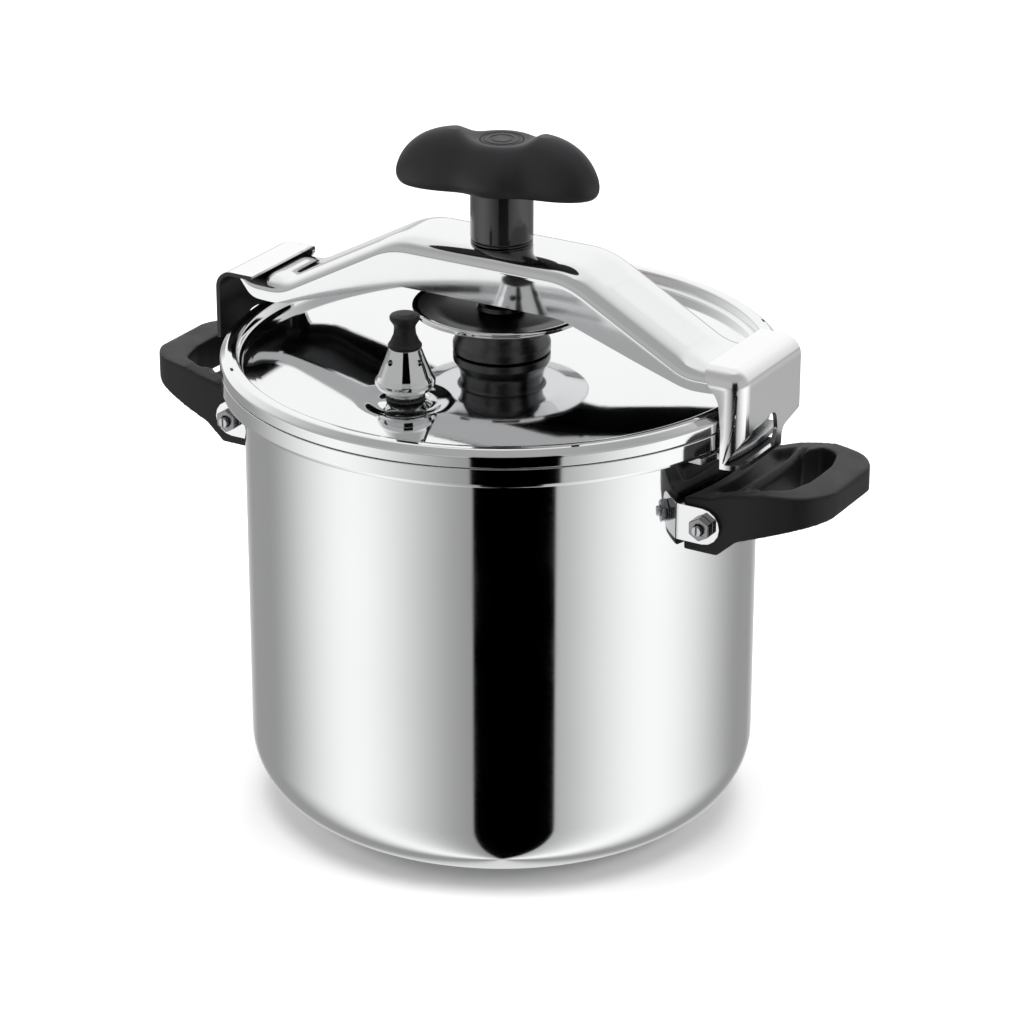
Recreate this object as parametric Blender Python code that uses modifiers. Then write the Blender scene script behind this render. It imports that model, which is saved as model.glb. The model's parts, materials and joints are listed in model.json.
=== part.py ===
"""Screw-clamp pressure canner: pot, lid, clamp beam, screw, weight valve and safety valve, in metres, +Z up."""

import math

import bmesh
import bpy
from mathutils import Matrix, Vector

OBJECT = "pressure_canner"
GAP = 0.0003
RINGS = 40
MID_RINGS = 28
SMALL_RINGS = 16
TINY_RINGS = 12

# Pot
POT_RADIUS = 0.1315
POT_WALL = 0.0011
POT_CORNER = 0.034
POT_FLOOR = 0.0045
COLLAR_RADIUS = 0.1430
COLLAR_WALL = 0.0012
COLLAR_BOTTOM = 0.2293
RIM_TOP = 0.2395
BASE_RADIUS = 0.098
BASE_TOP = 0.0042

# Lug under the collar, one on each side
LUG_BOTTOM = 0.2238
LUG_TOP = 0.2272
LUG_ROOT_RADIUS = 0.1395
LUG_ROOT_HALF = 0.0370
LUG_TIP_RADIUS = 0.1466
LUG_TIP_HALF = 0.0262

# Handles
BRACKET_INNER = 0.1318
BRACKET_OUTER = 0.1333
EAR_INNER = 0.0416
EAR_OUTER = 0.0431
EAR_TIP = 0.1480
EAR_BOTTOM = 0.1850
EAR_TOP = 0.2040
BOLT_X = 0.1390
BOLT_Z = 0.1945
BOLT_RADIUS = 0.0025
BOLT_HOLE = 0.0029
NUT_RADIUS = 0.0062
GRIP_HALF = 0.0412
GRIP_TIP = 0.1990
GRIP_ROOT = 0.1337

# Lid
LID_RADIUS = 0.1432
LID_BOTTOM = 0.2402
LID_TOP = 0.2487
LID_INNER = 0.1340
LID_SHEET = 0.0011
PANEL_EDGE_Z = 0.2415
PANEL_RISE = 0.0050
SLOT_RADIUS = 0.1394

# Clamp beam and claws
BEAM_HALF = 0.0250
BEAM_SHEET = 0.0020
BEAM_CREST = 0.3050
CLAW_TOP = 0.2715
CLAW_SHEET = 0.0022
CLAW_OUTER = 0.1525
CLAW_INNER = 0.1240
CLAW_BOTTOM = 0.2212
CLAW_ROUND = 0.0100
CLAW_SHUT_Y = -0.0310
CLAW_OPEN_Y = 0.0330

# Screw, knob and pressure dish
SPINDLE_RADIUS = 0.0095
THREAD_DEPTH = 0.0009
THREAD_LEAD = 0.0030
SLEEVE_RADIUS = 0.0160
KNOB_BOTTOM = 0.3335
KNOB_TOP = 0.3630
KNOB_CROWN = 0.3590
KNOB_HUB = 0.0250
KNOB_TURN = math.radians(103.0)
DISH_RADIUS = 0.0455
DISH_TOP = 0.2712
DISH_HUB = 0.0250
DISH_BOTTOM = 0.2470

# Valves
WEIGHT_X = -0.0080
WEIGHT_Y = -0.0800
SAFETY_X = -0.0300
SAFETY_Y = 0.0820


def clear_scene():
    for obj in list(bpy.data.objects):
        bpy.data.objects.remove(obj, do_unlink=True)


def make_collection(name, hidden=False):
    collection = bpy.data.collections.new(name)
    bpy.context.scene.collection.children.link(collection)
    collection.hide_render = hidden
    return collection


def make_material(name, colour, roughness, metallic):
    material = bpy.data.materials.new(name)
    material.use_nodes = True
    shader = material.node_tree.nodes["Principled BSDF"]
    shader.inputs["Base Color"].default_value = (*colour, 1.0)
    shader.inputs["Roughness"].default_value = roughness
    shader.inputs["Metallic"].default_value = metallic
    material.diffuse_color = (*colour, 1.0)
    return material


def polished_steel(name):
    return make_material(name, (0.78, 0.79, 0.80), 0.08, 1.0)


def satin_steel(name):
    return make_material(name, (0.62, 0.63, 0.64), 0.30, 1.0)


def black_plastic(name):
    return make_material(name, (0.020, 0.020, 0.021), 0.45, 0.0)


def silicone(name, colour=(0.62, 0.62, 0.60)):
    return make_material(name, colour, 0.60, 0.0)


def link(obj, material, cutter=False):
    collection = CUTTERS if cutter else PARTS
    collection.objects.link(obj)
    if material is not None:
        obj.data.materials.append(material)
    if cutter:
        obj.hide_render = True
        obj.display_type = "WIRE"
    return obj


def shade_round(obj, degrees=35.0):
    for polygon in obj.data.polygons:
        polygon.use_smooth = True
    obj.data.set_sharp_from_angle(angle=math.radians(degrees))
    return obj


def arc_points(centre, radius, start, end, count):
    """Points on an arc in a plane, both ends included, angles in degrees."""
    points = []
    for k in range(count + 1):
        angle = math.radians(start + (end - start) * k / count)
        points.append((centre[0] + radius * math.cos(angle), centre[1] + radius * math.sin(angle)))
    return points


def turned(name, profile, material, steps=RINGS, centre=(0.0, 0.0), closed=True, cutter=False):
    """A turned shape: profile is (radius, height), down the outer side, about a vertical axis at centre."""
    mesh = bpy.data.meshes.new(name)
    points = [(radius, 0.0, height) for radius, height in profile]
    edges = [(k, k + 1) for k in range(len(points) - 1)]
    if closed:
        edges.append((len(points) - 1, 0))
    mesh.from_pydata(points, edges, [])
    obj = link(bpy.data.objects.new(name, mesh), None, cutter)
    obj.location = (centre[0], centre[1], 0.0)
    screw = obj.modifiers.new("turn", "SCREW")
    screw.axis = "Z"
    screw.angle = math.tau
    screw.steps = steps
    screw.render_steps = steps
    screw.use_merge_vertices = True
    screw.merge_threshold = 0.00001
    return bake(obj, material)


def bake(obj, material, degrees=35.0):
    """The object with its modifiers applied, as a plain mesh."""
    graph = bpy.context.evaluated_depsgraph_get()
    graph.update()
    mesh = bpy.data.meshes.new_from_object(obj.evaluated_get(graph))
    if obj.type != "MESH":
        name = obj.name
        matrix = obj.matrix_world.copy()
        collection = obj.users_collection[0]
        bpy.data.objects.remove(obj, do_unlink=True)
        obj = bpy.data.objects.new(name, mesh)
        obj.matrix_world = matrix
        collection.objects.link(obj)
        if collection == CUTTERS:
            obj.hide_render = True
            obj.display_type = "WIRE"
    else:
        obj.modifiers.clear()
        obj.data = mesh
    weld = bmesh.new()
    weld.from_mesh(mesh)
    bmesh.ops.remove_doubles(weld, verts=weld.verts, dist=0.00001)
    bmesh.ops.recalc_face_normals(weld, faces=weld.faces)
    weld.to_mesh(mesh)
    weld.free()
    mesh.materials.clear()
    if material is not None:
        mesh.materials.append(material)
    return shade_round(obj, degrees)


def plate(name, outlines, thickness, matrix, material, cutter=False):
    """A flat plate: closed outlines in a plane, the second and later ones being holes, and half the
    thickness on each side of the plane."""
    curve = bpy.data.curves.new(name, "CURVE")
    curve.dimensions = "2D"
    curve.fill_mode = "BOTH"
    curve.extrude = thickness / 2
    for outline in outlines:
        spline = curve.splines.new("POLY")
        spline.points.add(len(outline) - 1)
        for point, (x, y) in zip(spline.points, outline):
            point.co = (x, y, 0.0, 1.0)
        spline.use_cyclic_u = True
    obj = link(bpy.data.objects.new(name, curve), None, cutter)
    obj.matrix_world = matrix
    bpy.context.view_layer.update()
    return bake(obj, material, 30.0)


def lying(height):
    """The plane z = height."""
    return Matrix.Translation((0.0, 0.0, height))


def upright(y):
    """The X-Z plane at y: outline x stays X, outline y becomes Z."""
    return Matrix.Translation((0.0, y, 0.0)) @ Matrix.Rotation(math.radians(90.0), 4, "X")


def box(name, low, high, material=None, bevel=0.0, segments=2, cutter=False):
    mesh = bpy.data.meshes.new(name)
    shape = bmesh.new()
    bmesh.ops.create_cube(shape, size=1.0)
    size = [b - a for a, b in zip(low, high)]
    middle = [(a + b) / 2 for a, b in zip(low, high)]
    bmesh.ops.scale(shape, vec=size, verts=shape.verts)
    bmesh.ops.translate(shape, vec=middle, verts=shape.verts)
    shape.to_mesh(mesh)
    shape.free()
    obj = link(bpy.data.objects.new(name, mesh), None, cutter)
    if bevel:
        edge = obj.modifiers.new("edge", "BEVEL")
        edge.width = bevel
        edge.segments = segments
    return bake(obj, material)


def domed_box(name, low, high, radius, material=None, segments=4, cutter=False):
    """A box whose upright and upper edges are rounded, and whose lower edges stay sharp."""
    mesh = bpy.data.meshes.new(name)
    shape = bmesh.new()
    bmesh.ops.create_cube(shape, size=1.0)
    bmesh.ops.scale(shape, vec=[b - a for a, b in zip(low, high)], verts=shape.verts)
    bmesh.ops.translate(shape, vec=[(a + b) / 2 for a, b in zip(low, high)], verts=shape.verts)
    middle = (low[2] + high[2]) / 2
    edges = [edge for edge in shape.edges if any(vertex.co.z > middle for vertex in edge.verts)]
    bmesh.ops.bevel(shape, geom=edges, offset=radius, segments=segments, profile=0.5, affect="EDGES")
    shape.to_mesh(mesh)
    shape.free()
    return bake(link(bpy.data.objects.new(name, mesh), None, cutter), material)


def rod(name, start, end, radius, material=None, sides=16, cutter=False):
    """A cylinder, or with six sides a hexagonal bar, from start to end."""
    start, end = Vector(start), Vector(end)
    mesh = bpy.data.meshes.new(name)
    shape = bmesh.new()
    bmesh.ops.create_cone(
        shape, cap_ends=True, segments=sides, radius1=radius, radius2=radius, depth=(end - start).length
    )
    turn = (end - start).to_track_quat("Z", "Y").to_matrix().to_4x4()
    bmesh.ops.transform(shape, matrix=Matrix.Translation((start + end) / 2) @ turn, verts=shape.verts)
    shape.to_mesh(mesh)
    shape.free()
    obj = link(bpy.data.objects.new(name, mesh), None, cutter)
    return bake(obj, material)


def combine(obj, others, operation="DIFFERENCE", bevel=0.0, segments=2, angle=30.0):
    """Boolean of obj with each of others, then an optional rounding of its sharp edges."""
    for k, other in enumerate(others):
        cut = obj.modifiers.new(f"cut_{k}", "BOOLEAN")
        cut.operation = operation
        cut.solver = "EXACT"
        cut.object = other
    material = obj.data.materials[0] if obj.data.materials else None
    result = bake(obj, material)
    for other in others:
        bpy.data.objects.remove(other, do_unlink=True)
    if bevel:
        edge = result.modifiers.new("edge", "BEVEL")
        edge.width = bevel
        edge.segments = segments
        edge.limit_method = "ANGLE"
        edge.angle_limit = math.radians(angle)
        result = bake(result, material)
    return result


def mirrored(obj, name, material, half_turn=False):
    """A copy on the other side of the Y-Z plane, or turned half round about Z."""
    mesh = obj.data.copy()
    copy = bpy.data.objects.new(name, mesh)
    matrix = Matrix.Rotation(math.pi, 4, "Z") if half_turn else Matrix.Scale(-1.0, 4, (1.0, 0.0, 0.0))
    mesh.transform(matrix @ obj.matrix_world)
    if not half_turn:
        mesh.flip_normals()
    mesh.materials.clear()
    mesh.materials.append(material)
    PARTS.objects.link(copy)
    return copy


def settle(obj):
    """Moves the object's transform into its mesh."""
    obj.data.transform(obj.matrix_world)
    obj.matrix_world = Matrix.Identity(4)
    return obj


def make_pot():
    inner = POT_RADIUS - POT_WALL
    corner = POT_RADIUS - POT_CORNER
    outside = [
        (COLLAR_RADIUS, RIM_TOP - 0.0006),
        (COLLAR_RADIUS, COLLAR_BOTTOM + 0.0010),
        (COLLAR_RADIUS - 0.0010, COLLAR_BOTTOM),
        (POT_RADIUS + 0.0012, COLLAR_BOTTOM - 0.0006),
        (POT_RADIUS, COLLAR_BOTTOM - 0.0018),
    ]
    outside += arc_points((corner, POT_FLOOR + POT_CORNER), POT_CORNER, 0.0, -90.0, 6)
    outside.append((0.0, POT_FLOOR))
    inside = [(0.0, POT_FLOOR + POT_WALL)]
    inside += arc_points((corner, POT_FLOOR + POT_CORNER), POT_CORNER - POT_WALL, -90.0, 0.0, 5)
    collar_inner = COLLAR_RADIUS - COLLAR_WALL
    inside += [
        (inner, COLLAR_BOTTOM - 0.0010),
        (inner + 0.0012, COLLAR_BOTTOM + 0.0006),
        (collar_inner - 0.0010, COLLAR_BOTTOM + 0.0012),
        (collar_inner, COLLAR_BOTTOM + 0.0022),
        (collar_inner, RIM_TOP - 0.0006),
        (collar_inner + 0.0004, RIM_TOP),
        (COLLAR_RADIUS - 0.0004, RIM_TOP),
    ]
    turned("pot_body", outside + inside, polished_steel("pot_steel"))
    base = [
        (0.0, BASE_TOP),
        (BASE_RADIUS - 0.0015, BASE_TOP),
        (BASE_RADIUS, BASE_TOP - 0.0012),
        (BASE_RADIUS, 0.0010),
        (BASE_RADIUS - 0.0012, 0.0),
        (0.0, 0.0),
    ]
    turned("base_disc", base, satin_steel("base_steel"), closed=False)


def make_lugs():
    root = math.degrees(math.asin(LUG_ROOT_HALF / LUG_ROOT_RADIUS))
    inner = math.degrees(math.asin(LUG_ROOT_HALF / BRACKET_INNER))
    tip = math.degrees(math.asin(LUG_TIP_HALF / LUG_TIP_RADIUS))
    neck = math.degrees(math.asin(LUG_TIP_HALF / LUG_ROOT_RADIUS))
    outline = arc_points((0.0, 0.0), BRACKET_INNER, inner, -inner, 10)
    outline += arc_points((0.0, 0.0), LUG_ROOT_RADIUS, -root, -neck, 2)
    outline += arc_points((0.0, 0.0), LUG_TIP_RADIUS, -tip, tip, 8)
    outline += arc_points((0.0, 0.0), LUG_ROOT_RADIUS, neck, root, 2)
    middle = (LUG_BOTTOM + LUG_TOP) / 2
    lug = plate("lug_right", [outline], LUG_TOP - LUG_BOTTOM, lying(middle), satin_steel("lug_steel"))
    mirrored(settle(lug), "lug_left", satin_steel("lug_steel_left"))


def make_bracket():
    """A strip bent to the pot's wall with an ear at each end, cut to height with round ear tips."""
    outer = math.degrees(math.asin(EAR_INNER / BRACKET_OUTER))
    inner = math.degrees(math.asin(EAR_OUTER / BRACKET_INNER))
    outline = [(EAR_TIP + 0.01, -EAR_OUTER)]
    outline += [(EAR_TIP + 0.01, -EAR_INNER)]
    outline += arc_points((0.0, 0.0), BRACKET_OUTER, -outer, outer, 12)
    outline += [(EAR_TIP + 0.01, EAR_INNER), (EAR_TIP + 0.01, EAR_OUTER)]
    outline += arc_points((0.0, 0.0), BRACKET_INNER, inner, -inner, 12)
    middle = (EAR_TOP + EAR_BOTTOM) / 2
    steel = polished_steel("bracket_steel")
    bracket = settle(plate("handle_right_bracket", [outline], 0.040, lying(middle), steel))
    radius = (EAR_TOP - EAR_BOTTOM) / 2
    side = [(0.110, EAR_TOP), (0.110, EAR_BOTTOM)]
    side += arc_points((EAR_TIP - radius, middle), radius, -90.0, 90.0, 8)
    profile = settle(plate("bracket_side", [side], 0.120, upright(0.0), None, True))
    bracket = combine(bracket, [profile], "INTERSECT")
    hole = rod("ear_hole", (BOLT_X, -0.06, BOLT_Z), (BOLT_X, 0.06, BOLT_Z), BOLT_HOLE, sides=16, cutter=True)
    bracket = combine(bracket, [hole])
    mirrored(settle(bracket), "handle_left_bracket", polished_steel("bracket_steel_left"))


def grip_outline():
    """Plan of the grip: straight sides at the root, rounded far corners and a slightly bowed end."""
    side = [(0.1450, GRIP_HALF), (0.1640, GRIP_HALF), (0.1745, 0.0402), (0.1830, 0.0376)]
    side += [(0.1895, 0.0330), (0.1940, 0.0270), (0.1968, 0.0190), (0.1985, 0.0100), (GRIP_TIP, 0.0)]
    root = [(0.1150, GRIP_HALF)]
    upper = root + side
    lower = [(x, -y) for x, y in reversed(upper) if y > 0.0]
    return upper + lower


def finger_outline():
    """Plan of the finger opening: an arc on the pot side, a bowed far side and rounded corners."""
    near = arc_points((0.0, 0.0), 0.1610, -9.2, 9.2, 6)
    far = [(0.1640, 0.0305), (0.1705, 0.0308), (0.1760, 0.0280), (0.1790, 0.0220), (0.1803, 0.0110), (0.1806, 0.0)]
    mirrored_far = [(x, -y) for x, y in reversed(far) if y > 0.0]
    return near + far + mirrored_far


def make_grip():
    plastic = black_plastic("grip_plastic")
    grip = settle(plate("handle_right_grip", [grip_outline()], 0.080, lying(0.197), plastic))
    side = [(0.1200, 0.1795), (0.1455, 0.1795), (0.1560, 0.1890), (0.1700, 0.1948), (0.1850, 0.1993)]
    side += [(0.2020, 0.2035), (0.2020, 0.2165), (0.1700, 0.2162), (0.1590, 0.2152), (0.1500, 0.2120)]
    side += [(0.1400, 0.2085), (0.1200, 0.2065)]
    profile = settle(plate("grip_side", [side], 0.120, upright(0.0), None, True))
    grip = combine(grip, [profile], "INTERSECT")
    finger = settle(plate("finger_hole", [finger_outline()], 0.080, lying(0.200), None, True))
    wall = turned(
        "pot_clearance",
        [(0.0, 0.25), (GRIP_ROOT, 0.25), (GRIP_ROOT, 0.15), (0.0, 0.15)],
        None,
        steps=120,
        closed=False,
        cutter=True,
    )
    grip = combine(grip, [finger, wall], bevel=0.0030, segments=2, angle=28.0)
    hole = rod("grip_hole", (BOLT_X, -0.06, BOLT_Z), (BOLT_X, 0.06, BOLT_Z), BOLT_HOLE, sides=12, cutter=True)
    grip = combine(grip, [hole])
    mirrored(settle(grip), "handle_left_grip", black_plastic("grip_plastic_left"))


def make_handle_bolts():
    steel = satin_steel("bolt_steel")
    head = EAR_OUTER + GAP
    bolt = rod("handle_right_bolt", (BOLT_X, -0.0502, BOLT_Z), (BOLT_X, head + 0.001, BOLT_Z), BOLT_RADIUS, steel)
    cap = rod("bolt_head", (BOLT_X, head, BOLT_Z), (BOLT_X, head + 0.0032, BOLT_Z), 0.0050, None, 20, True)
    bolt = combine(bolt, [cap], "UNION")
    low = (BOLT_X - 0.0005, -0.0520, BOLT_Z - 0.0050)
    high = (BOLT_X + 0.0005, -0.0490, BOLT_Z + 0.0050)
    slot = box("bolt_slot", low, high, cutter=True)
    bolt = combine(bolt, [slot])
    mirrored(settle(bolt), "handle_left_bolt", satin_steel("bolt_steel_left"))
    near = -EAR_OUTER - GAP
    nut = rod(
        "handle_right_nut",
        (BOLT_X, near, BOLT_Z),
        (BOLT_X, near - 0.0042, BOLT_Z),
        NUT_RADIUS,
        satin_steel("nut_steel"),
        6,
    )
    hole = rod("nut_hole", (BOLT_X, -0.06, BOLT_Z), (BOLT_X, -0.03, BOLT_Z), BOLT_HOLE, sides=16, cutter=True)
    nut = combine(nut, [hole])
    mirrored(settle(nut), "handle_left_nut", satin_steel("nut_steel_left"))


def panel_height(radius):
    """Height of the lid panel's top at a radius."""
    return PANEL_EDGE_Z + PANEL_RISE * (1.0 - (radius / LID_INNER) ** 2)


def make_lid():
    top = [(0.0, panel_height(0.0))]
    for radius in (0.060, 0.100, 0.126):
        top.append((radius, panel_height(radius)))
    top += [
        (0.1310, PANEL_EDGE_Z + 0.0004),
        (LID_INNER - 0.0008, PANEL_EDGE_Z + 0.0014),
        (LID_INNER, PANEL_EDGE_Z + 0.0030),
        (LID_INNER + 0.0002, LID_TOP - 0.0016),
        (LID_INNER + 0.0010, LID_TOP - 0.0004),
        (LID_INNER + 0.0026, LID_TOP),
        (LID_RADIUS - 0.0042, LID_TOP - 0.0001),
        (LID_RADIUS - 0.0006, LID_TOP - 0.0021),
        (LID_RADIUS, LID_TOP - 0.0038),
        (LID_RADIUS, LID_BOTTOM + 0.0004),
    ]
    wall = LID_SHEET
    under = [
        (LID_RADIUS - 0.0004, LID_BOTTOM),
        (LID_RADIUS - wall + 0.0002, LID_BOTTOM),
        (LID_RADIUS - wall, LID_BOTTOM + 0.0004),
        (LID_RADIUS - wall, LID_TOP - 0.0040),
        (LID_RADIUS - wall - 0.0018, LID_TOP - 0.0018),
        (LID_RADIUS - 0.0044, LID_TOP - wall),
        (LID_INNER + 0.0028, LID_TOP - wall),
        (LID_INNER + wall, PANEL_EDGE_Z + 0.0028),
        (LID_INNER + 0.0002, PANEL_EDGE_Z + 0.0006),
        (0.1314, PANEL_EDGE_Z - 0.0008),
    ]
    for radius in (0.126, 0.080, 0.0):
        under.append((radius, panel_height(radius) - wall))
    lid = turned("lid_shell", top + under, polished_steel("lid_steel"))
    cutters = []
    for k in range(4):
        angle = math.radians(45.0 + 90.0 * k)
        slot = box(f"slot_{k}", (-0.0007, -0.0022, 0.0), (0.0007, 0.0022, 0.010), bevel=0.0, cutter=True)
        turn = Matrix.Rotation(angle, 4, "Z") @ Matrix.Translation((SLOT_RADIUS, 0.0, LID_TOP - 0.0030))
        slot.data.transform(turn)
        cutters.append(slot)
    vent = rod("vent_hole", (WEIGHT_X, WEIGHT_Y, 0.22), (WEIGHT_X, WEIGHT_Y, 0.26), 0.0055, sides=20, cutter=True)
    safe = rod("safe_hole", (SAFETY_X, SAFETY_Y, 0.22), (SAFETY_X, SAFETY_Y, 0.26), 0.0065, sides=20, cutter=True)
    combine(lid, cutters + [vent, safe])
    gasket = [
        (0.1394, 0.2462),
        (0.1412, 0.2440),
        (0.1413, 0.2314),
        (0.1356, 0.2309),
        (0.1372, 0.2400),
        (0.1358, 0.2420),
        (0.1366, 0.2462),
    ]
    turned("gasket", gasket, silicone("gasket_silicone"))


def hexagon_nut(name, centre, bottom, top, radius, bore, material):
    nut = rod(name, (*centre, bottom), (*centre, top), radius, material, 6)
    hole = rod(f"{name}_hole", (*centre, bottom - 0.01), (*centre, top + 0.01), bore, sides=20, cutter=True)
    return settle(combine(nut, [hole]))


def make_vent():
    centre = (WEIGHT_X, WEIGHT_Y)
    seat = panel_height(math.hypot(*centre))
    pipe = [
        (0.0022, 0.2660),
        (0.0034, 0.2640),
        (0.0042, 0.2600),
        (0.0042, seat + 0.0052),
        (0.0088, seat + 0.0050),
        (0.0095, seat + 0.0044),
        (0.0095, seat + 0.0022),
        (0.0050, seat + 0.0020),
        (0.0050, 0.2345),
        (0.0044, 0.2338),
        (0.0016, 0.2338),
        (0.0016, 0.2660),
    ]
    turned("vent_pipe", pipe, satin_steel("vent_steel"), SMALL_RINGS, centre)
    washer = [(0.0100, seat + 0.0018), (0.0100, seat + 0.0008), (0.0056, seat + 0.0008), (0.0056, seat + 0.0018)]
    turned("vent_washer", washer, silicone("vent_washer_silicone", (0.05, 0.05, 0.05)), SMALL_RINGS, centre)
    under = seat - LID_SHEET
    hexagon_nut("vent_nut", centre, under - 0.0052, under - 0.0012, 0.0092, 0.0054, satin_steel("vent_nut_steel"))


def make_weight():
    centre = (WEIGHT_X, WEIGHT_Y)
    body = [
        (0.0082, 0.2722),
        (0.0132, 0.2590),
        (0.0150, 0.2556),
        (0.0150, 0.2538),
        (0.0138, 0.2514),
        (0.0118, 0.2502),
        (0.0104, 0.2502),
        (0.0100, 0.2512),
        (0.0112, 0.2545),
        (0.0110, 0.2580),
        (0.0060, 0.2722),
    ]
    weight = turned("weight_body", body, polished_steel("weight_steel"), SMALL_RINGS + 4, centre)
    holes = []
    for k in range(4):
        angle = math.radians(-14.5 + 90.0 * k)
        direction = Vector((math.cos(angle), math.sin(angle), 0.0))
        start = Vector((*centre, 0.2640)) + direction * 0.0050
        end = Vector((*centre, 0.2655)) + direction * 0.0140
        holes.append(rod(f"steam_hole_{k}", start, end, 0.0012, sides=10, cutter=True))
    combine(weight, holes)
    cap = [
        (0.0, 0.2900),
        (0.0056, 0.2898),
        (0.0073, 0.2888),
        (0.0075, 0.2872),
        (0.0060, 0.2848),
        (0.0053, 0.2826),
        (0.0058, 0.2790),
        (0.0072, 0.2752),
        (0.0084, 0.2735),
        (0.0084, 0.2725),
        (0.0056, 0.2725),
        (0.0056, 0.2700),
        (0.0030, 0.2700),
        (0.0030, 0.2740),
        (0.0, 0.2740),
    ]
    turned("weight_cap", cap, black_plastic("weight_cap_plastic"), SMALL_RINGS, centre, closed=False)
    pin = [
        (0.0, 0.2737),
        (0.0026, 0.2737),
        (0.0026, 0.2690),
        (0.0034, 0.2685),
        (0.0034, 0.2672),
        (0.0012, 0.2668),
        (0.0, 0.2664),
    ]
    turned("weight_pin", pin, satin_steel("weight_pin_steel"), TINY_RINGS, centre, closed=False)


def make_safety_valve():
    centre = (SAFETY_X, SAFETY_Y)
    seat = panel_height(math.hypot(*centre))
    body = [
        (0.0070, 0.2585),
        (0.0074, 0.2580),
        (0.0074, seat + 0.0052),
        (0.0092, seat + 0.0050),
        (0.0092, seat + 0.0024),
        (0.0060, seat + 0.0022),
        (0.0060, 0.2350),
        (0.0055, 0.2345),
        (0.0026, 0.2345),
        (0.0026, 0.2378),
        (0.0052, 0.2380),
        (0.0052, 0.2585),
    ]
    turned("safety_body", body, polished_steel("safety_steel"), SMALL_RINGS, centre)
    washer = [(0.0100, seat + 0.0020), (0.0100, seat + 0.0009), (0.0064, seat + 0.0009), (0.0064, seat + 0.0020)]
    turned("safety_washer", washer, silicone("safety_washer_silicone", (0.35, 0.05, 0.04)), SMALL_RINGS, centre)
    under = seat - LID_SHEET
    hexagon_nut(
        "safety_nut", centre, under - 0.0050, under - 0.0012, 0.0098, 0.0064, satin_steel("safety_nut_steel")
    )
    cap = [
        (0.0046, 0.2618),
        (0.0074, 0.2606),
        (0.0078, 0.2596),
        (0.0078, 0.2588),
        (0.0049, 0.2588),
        (0.0049, 0.2568),
        (0.0020, 0.2568),
        (0.0020, 0.2618),
    ]
    turned("safety_cap", cap, polished_steel("safety_cap_steel"), SMALL_RINGS, centre)
    plunger = [
        (0.0, 0.2640),
        (0.0012, 0.2638),
        (0.0016, 0.2630),
        (0.0016, 0.2400),
        (0.0047, 0.2399),
        (0.0047, 0.2384),
        (0.0022, 0.2383),
        (0.0018, 0.2374),
        (0.0, 0.2372),
    ]
    colour = make_material("plunger_plastic", (0.55, 0.04, 0.03), 0.40, 0.0)
    turned("safety_plunger", plunger, colour, TINY_RINGS, centre, closed=False)
    make_spring(centre, 0.2412, 0.2555)


def make_spring(centre, bottom, top, turns=4.0, coil=0.0034, wire=0.00055):
    curve = bpy.data.curves.new("safety_spring", "CURVE")
    curve.dimensions = "3D"
    curve.bevel_depth = wire
    curve.bevel_resolution = 0
    curve.resolution_u = 1
    curve.use_fill_caps = True
    spline = curve.splines.new("POLY")
    count = int(turns * 12)
    spline.points.add(count)
    for k, point in enumerate(spline.points):
        angle = math.tau * turns * k / count
        height = bottom + wire + (top - bottom - 2 * wire) * k / count
        point.co = (centre[0] + coil * math.cos(angle), centre[1] + coil * math.sin(angle), height, 1.0)
    obj = link(bpy.data.objects.new("safety_spring", curve), None)
    bpy.context.view_layer.update()
    bake(obj, satin_steel("spring_steel"))


def beam_top(x):
    """Height of the beam's crest line along its length: a flat middle, two slopes and flat ends."""
    x = abs(x)
    if x < 0.046:
        return BEAM_CREST
    if x < 0.056:
        t = (x - 0.046) / 0.010
        return BEAM_CREST - 0.0028 * t * t
    if x < 0.114:
        return 0.3022 - (x - 0.056) * 0.56
    if x < 0.124:
        t = (x - 0.114) / 0.010
        return 0.2697 - 0.0037 * t + 0.0028 * t * t
    return 0.2690


def beam_foot(x):
    """Height of the flange's lower edge along the beam."""
    x = abs(x)
    points = [(0.0, 0.2795), (0.044, 0.2795), (0.056, 0.2772), (0.070, 0.2730), (0.094, 0.2640)]
    points += [(0.116, 0.2570), (0.128, 0.2560), (0.136, 0.2580), (0.1400, 0.2605), (0.1425, 0.2640)]
    for (x0, z0), (x1, z1) in zip(points, points[1:]):
        if x <= x1:
            return z0 + (z1 - z0) * (x - x0) / (x1 - x0)
    return points[-1][1]


def beam_section(x):
    """The channel's section at x: outer side from one foot over the top to the other, then back inside."""
    top, foot = beam_top(x), beam_foot(x)
    rise = min(0.0075, (top - foot) * 0.75)
    outer = [(BEAM_HALF, foot)]
    outer += [
        (BEAM_HALF, top - rise),
        (BEAM_HALF - 0.0016, top - rise * 0.50),
        (BEAM_HALF - 0.0052, top - rise * 0.14),
        (BEAM_HALF - 0.0105, top),
        (0.0, top + 0.0),
    ]
    sheet = BEAM_SHEET
    inner = [
        (0.0, top - sheet),
        (BEAM_HALF - 0.0108, top - sheet),
        (BEAM_HALF - sheet - 0.0028, top - sheet - rise * 0.26),
        (BEAM_HALF - sheet, top - sheet - rise * 0.75),
        (BEAM_HALF - sheet, foot),
    ]
    left_outer = [(-y, z) for y, z in reversed(outer[:-1])]
    left_inner = [(-y, z) for y, z in reversed(inner[1:])]
    return outer + left_outer + left_inner + inner[:-1] + [inner[-1]]


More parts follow.
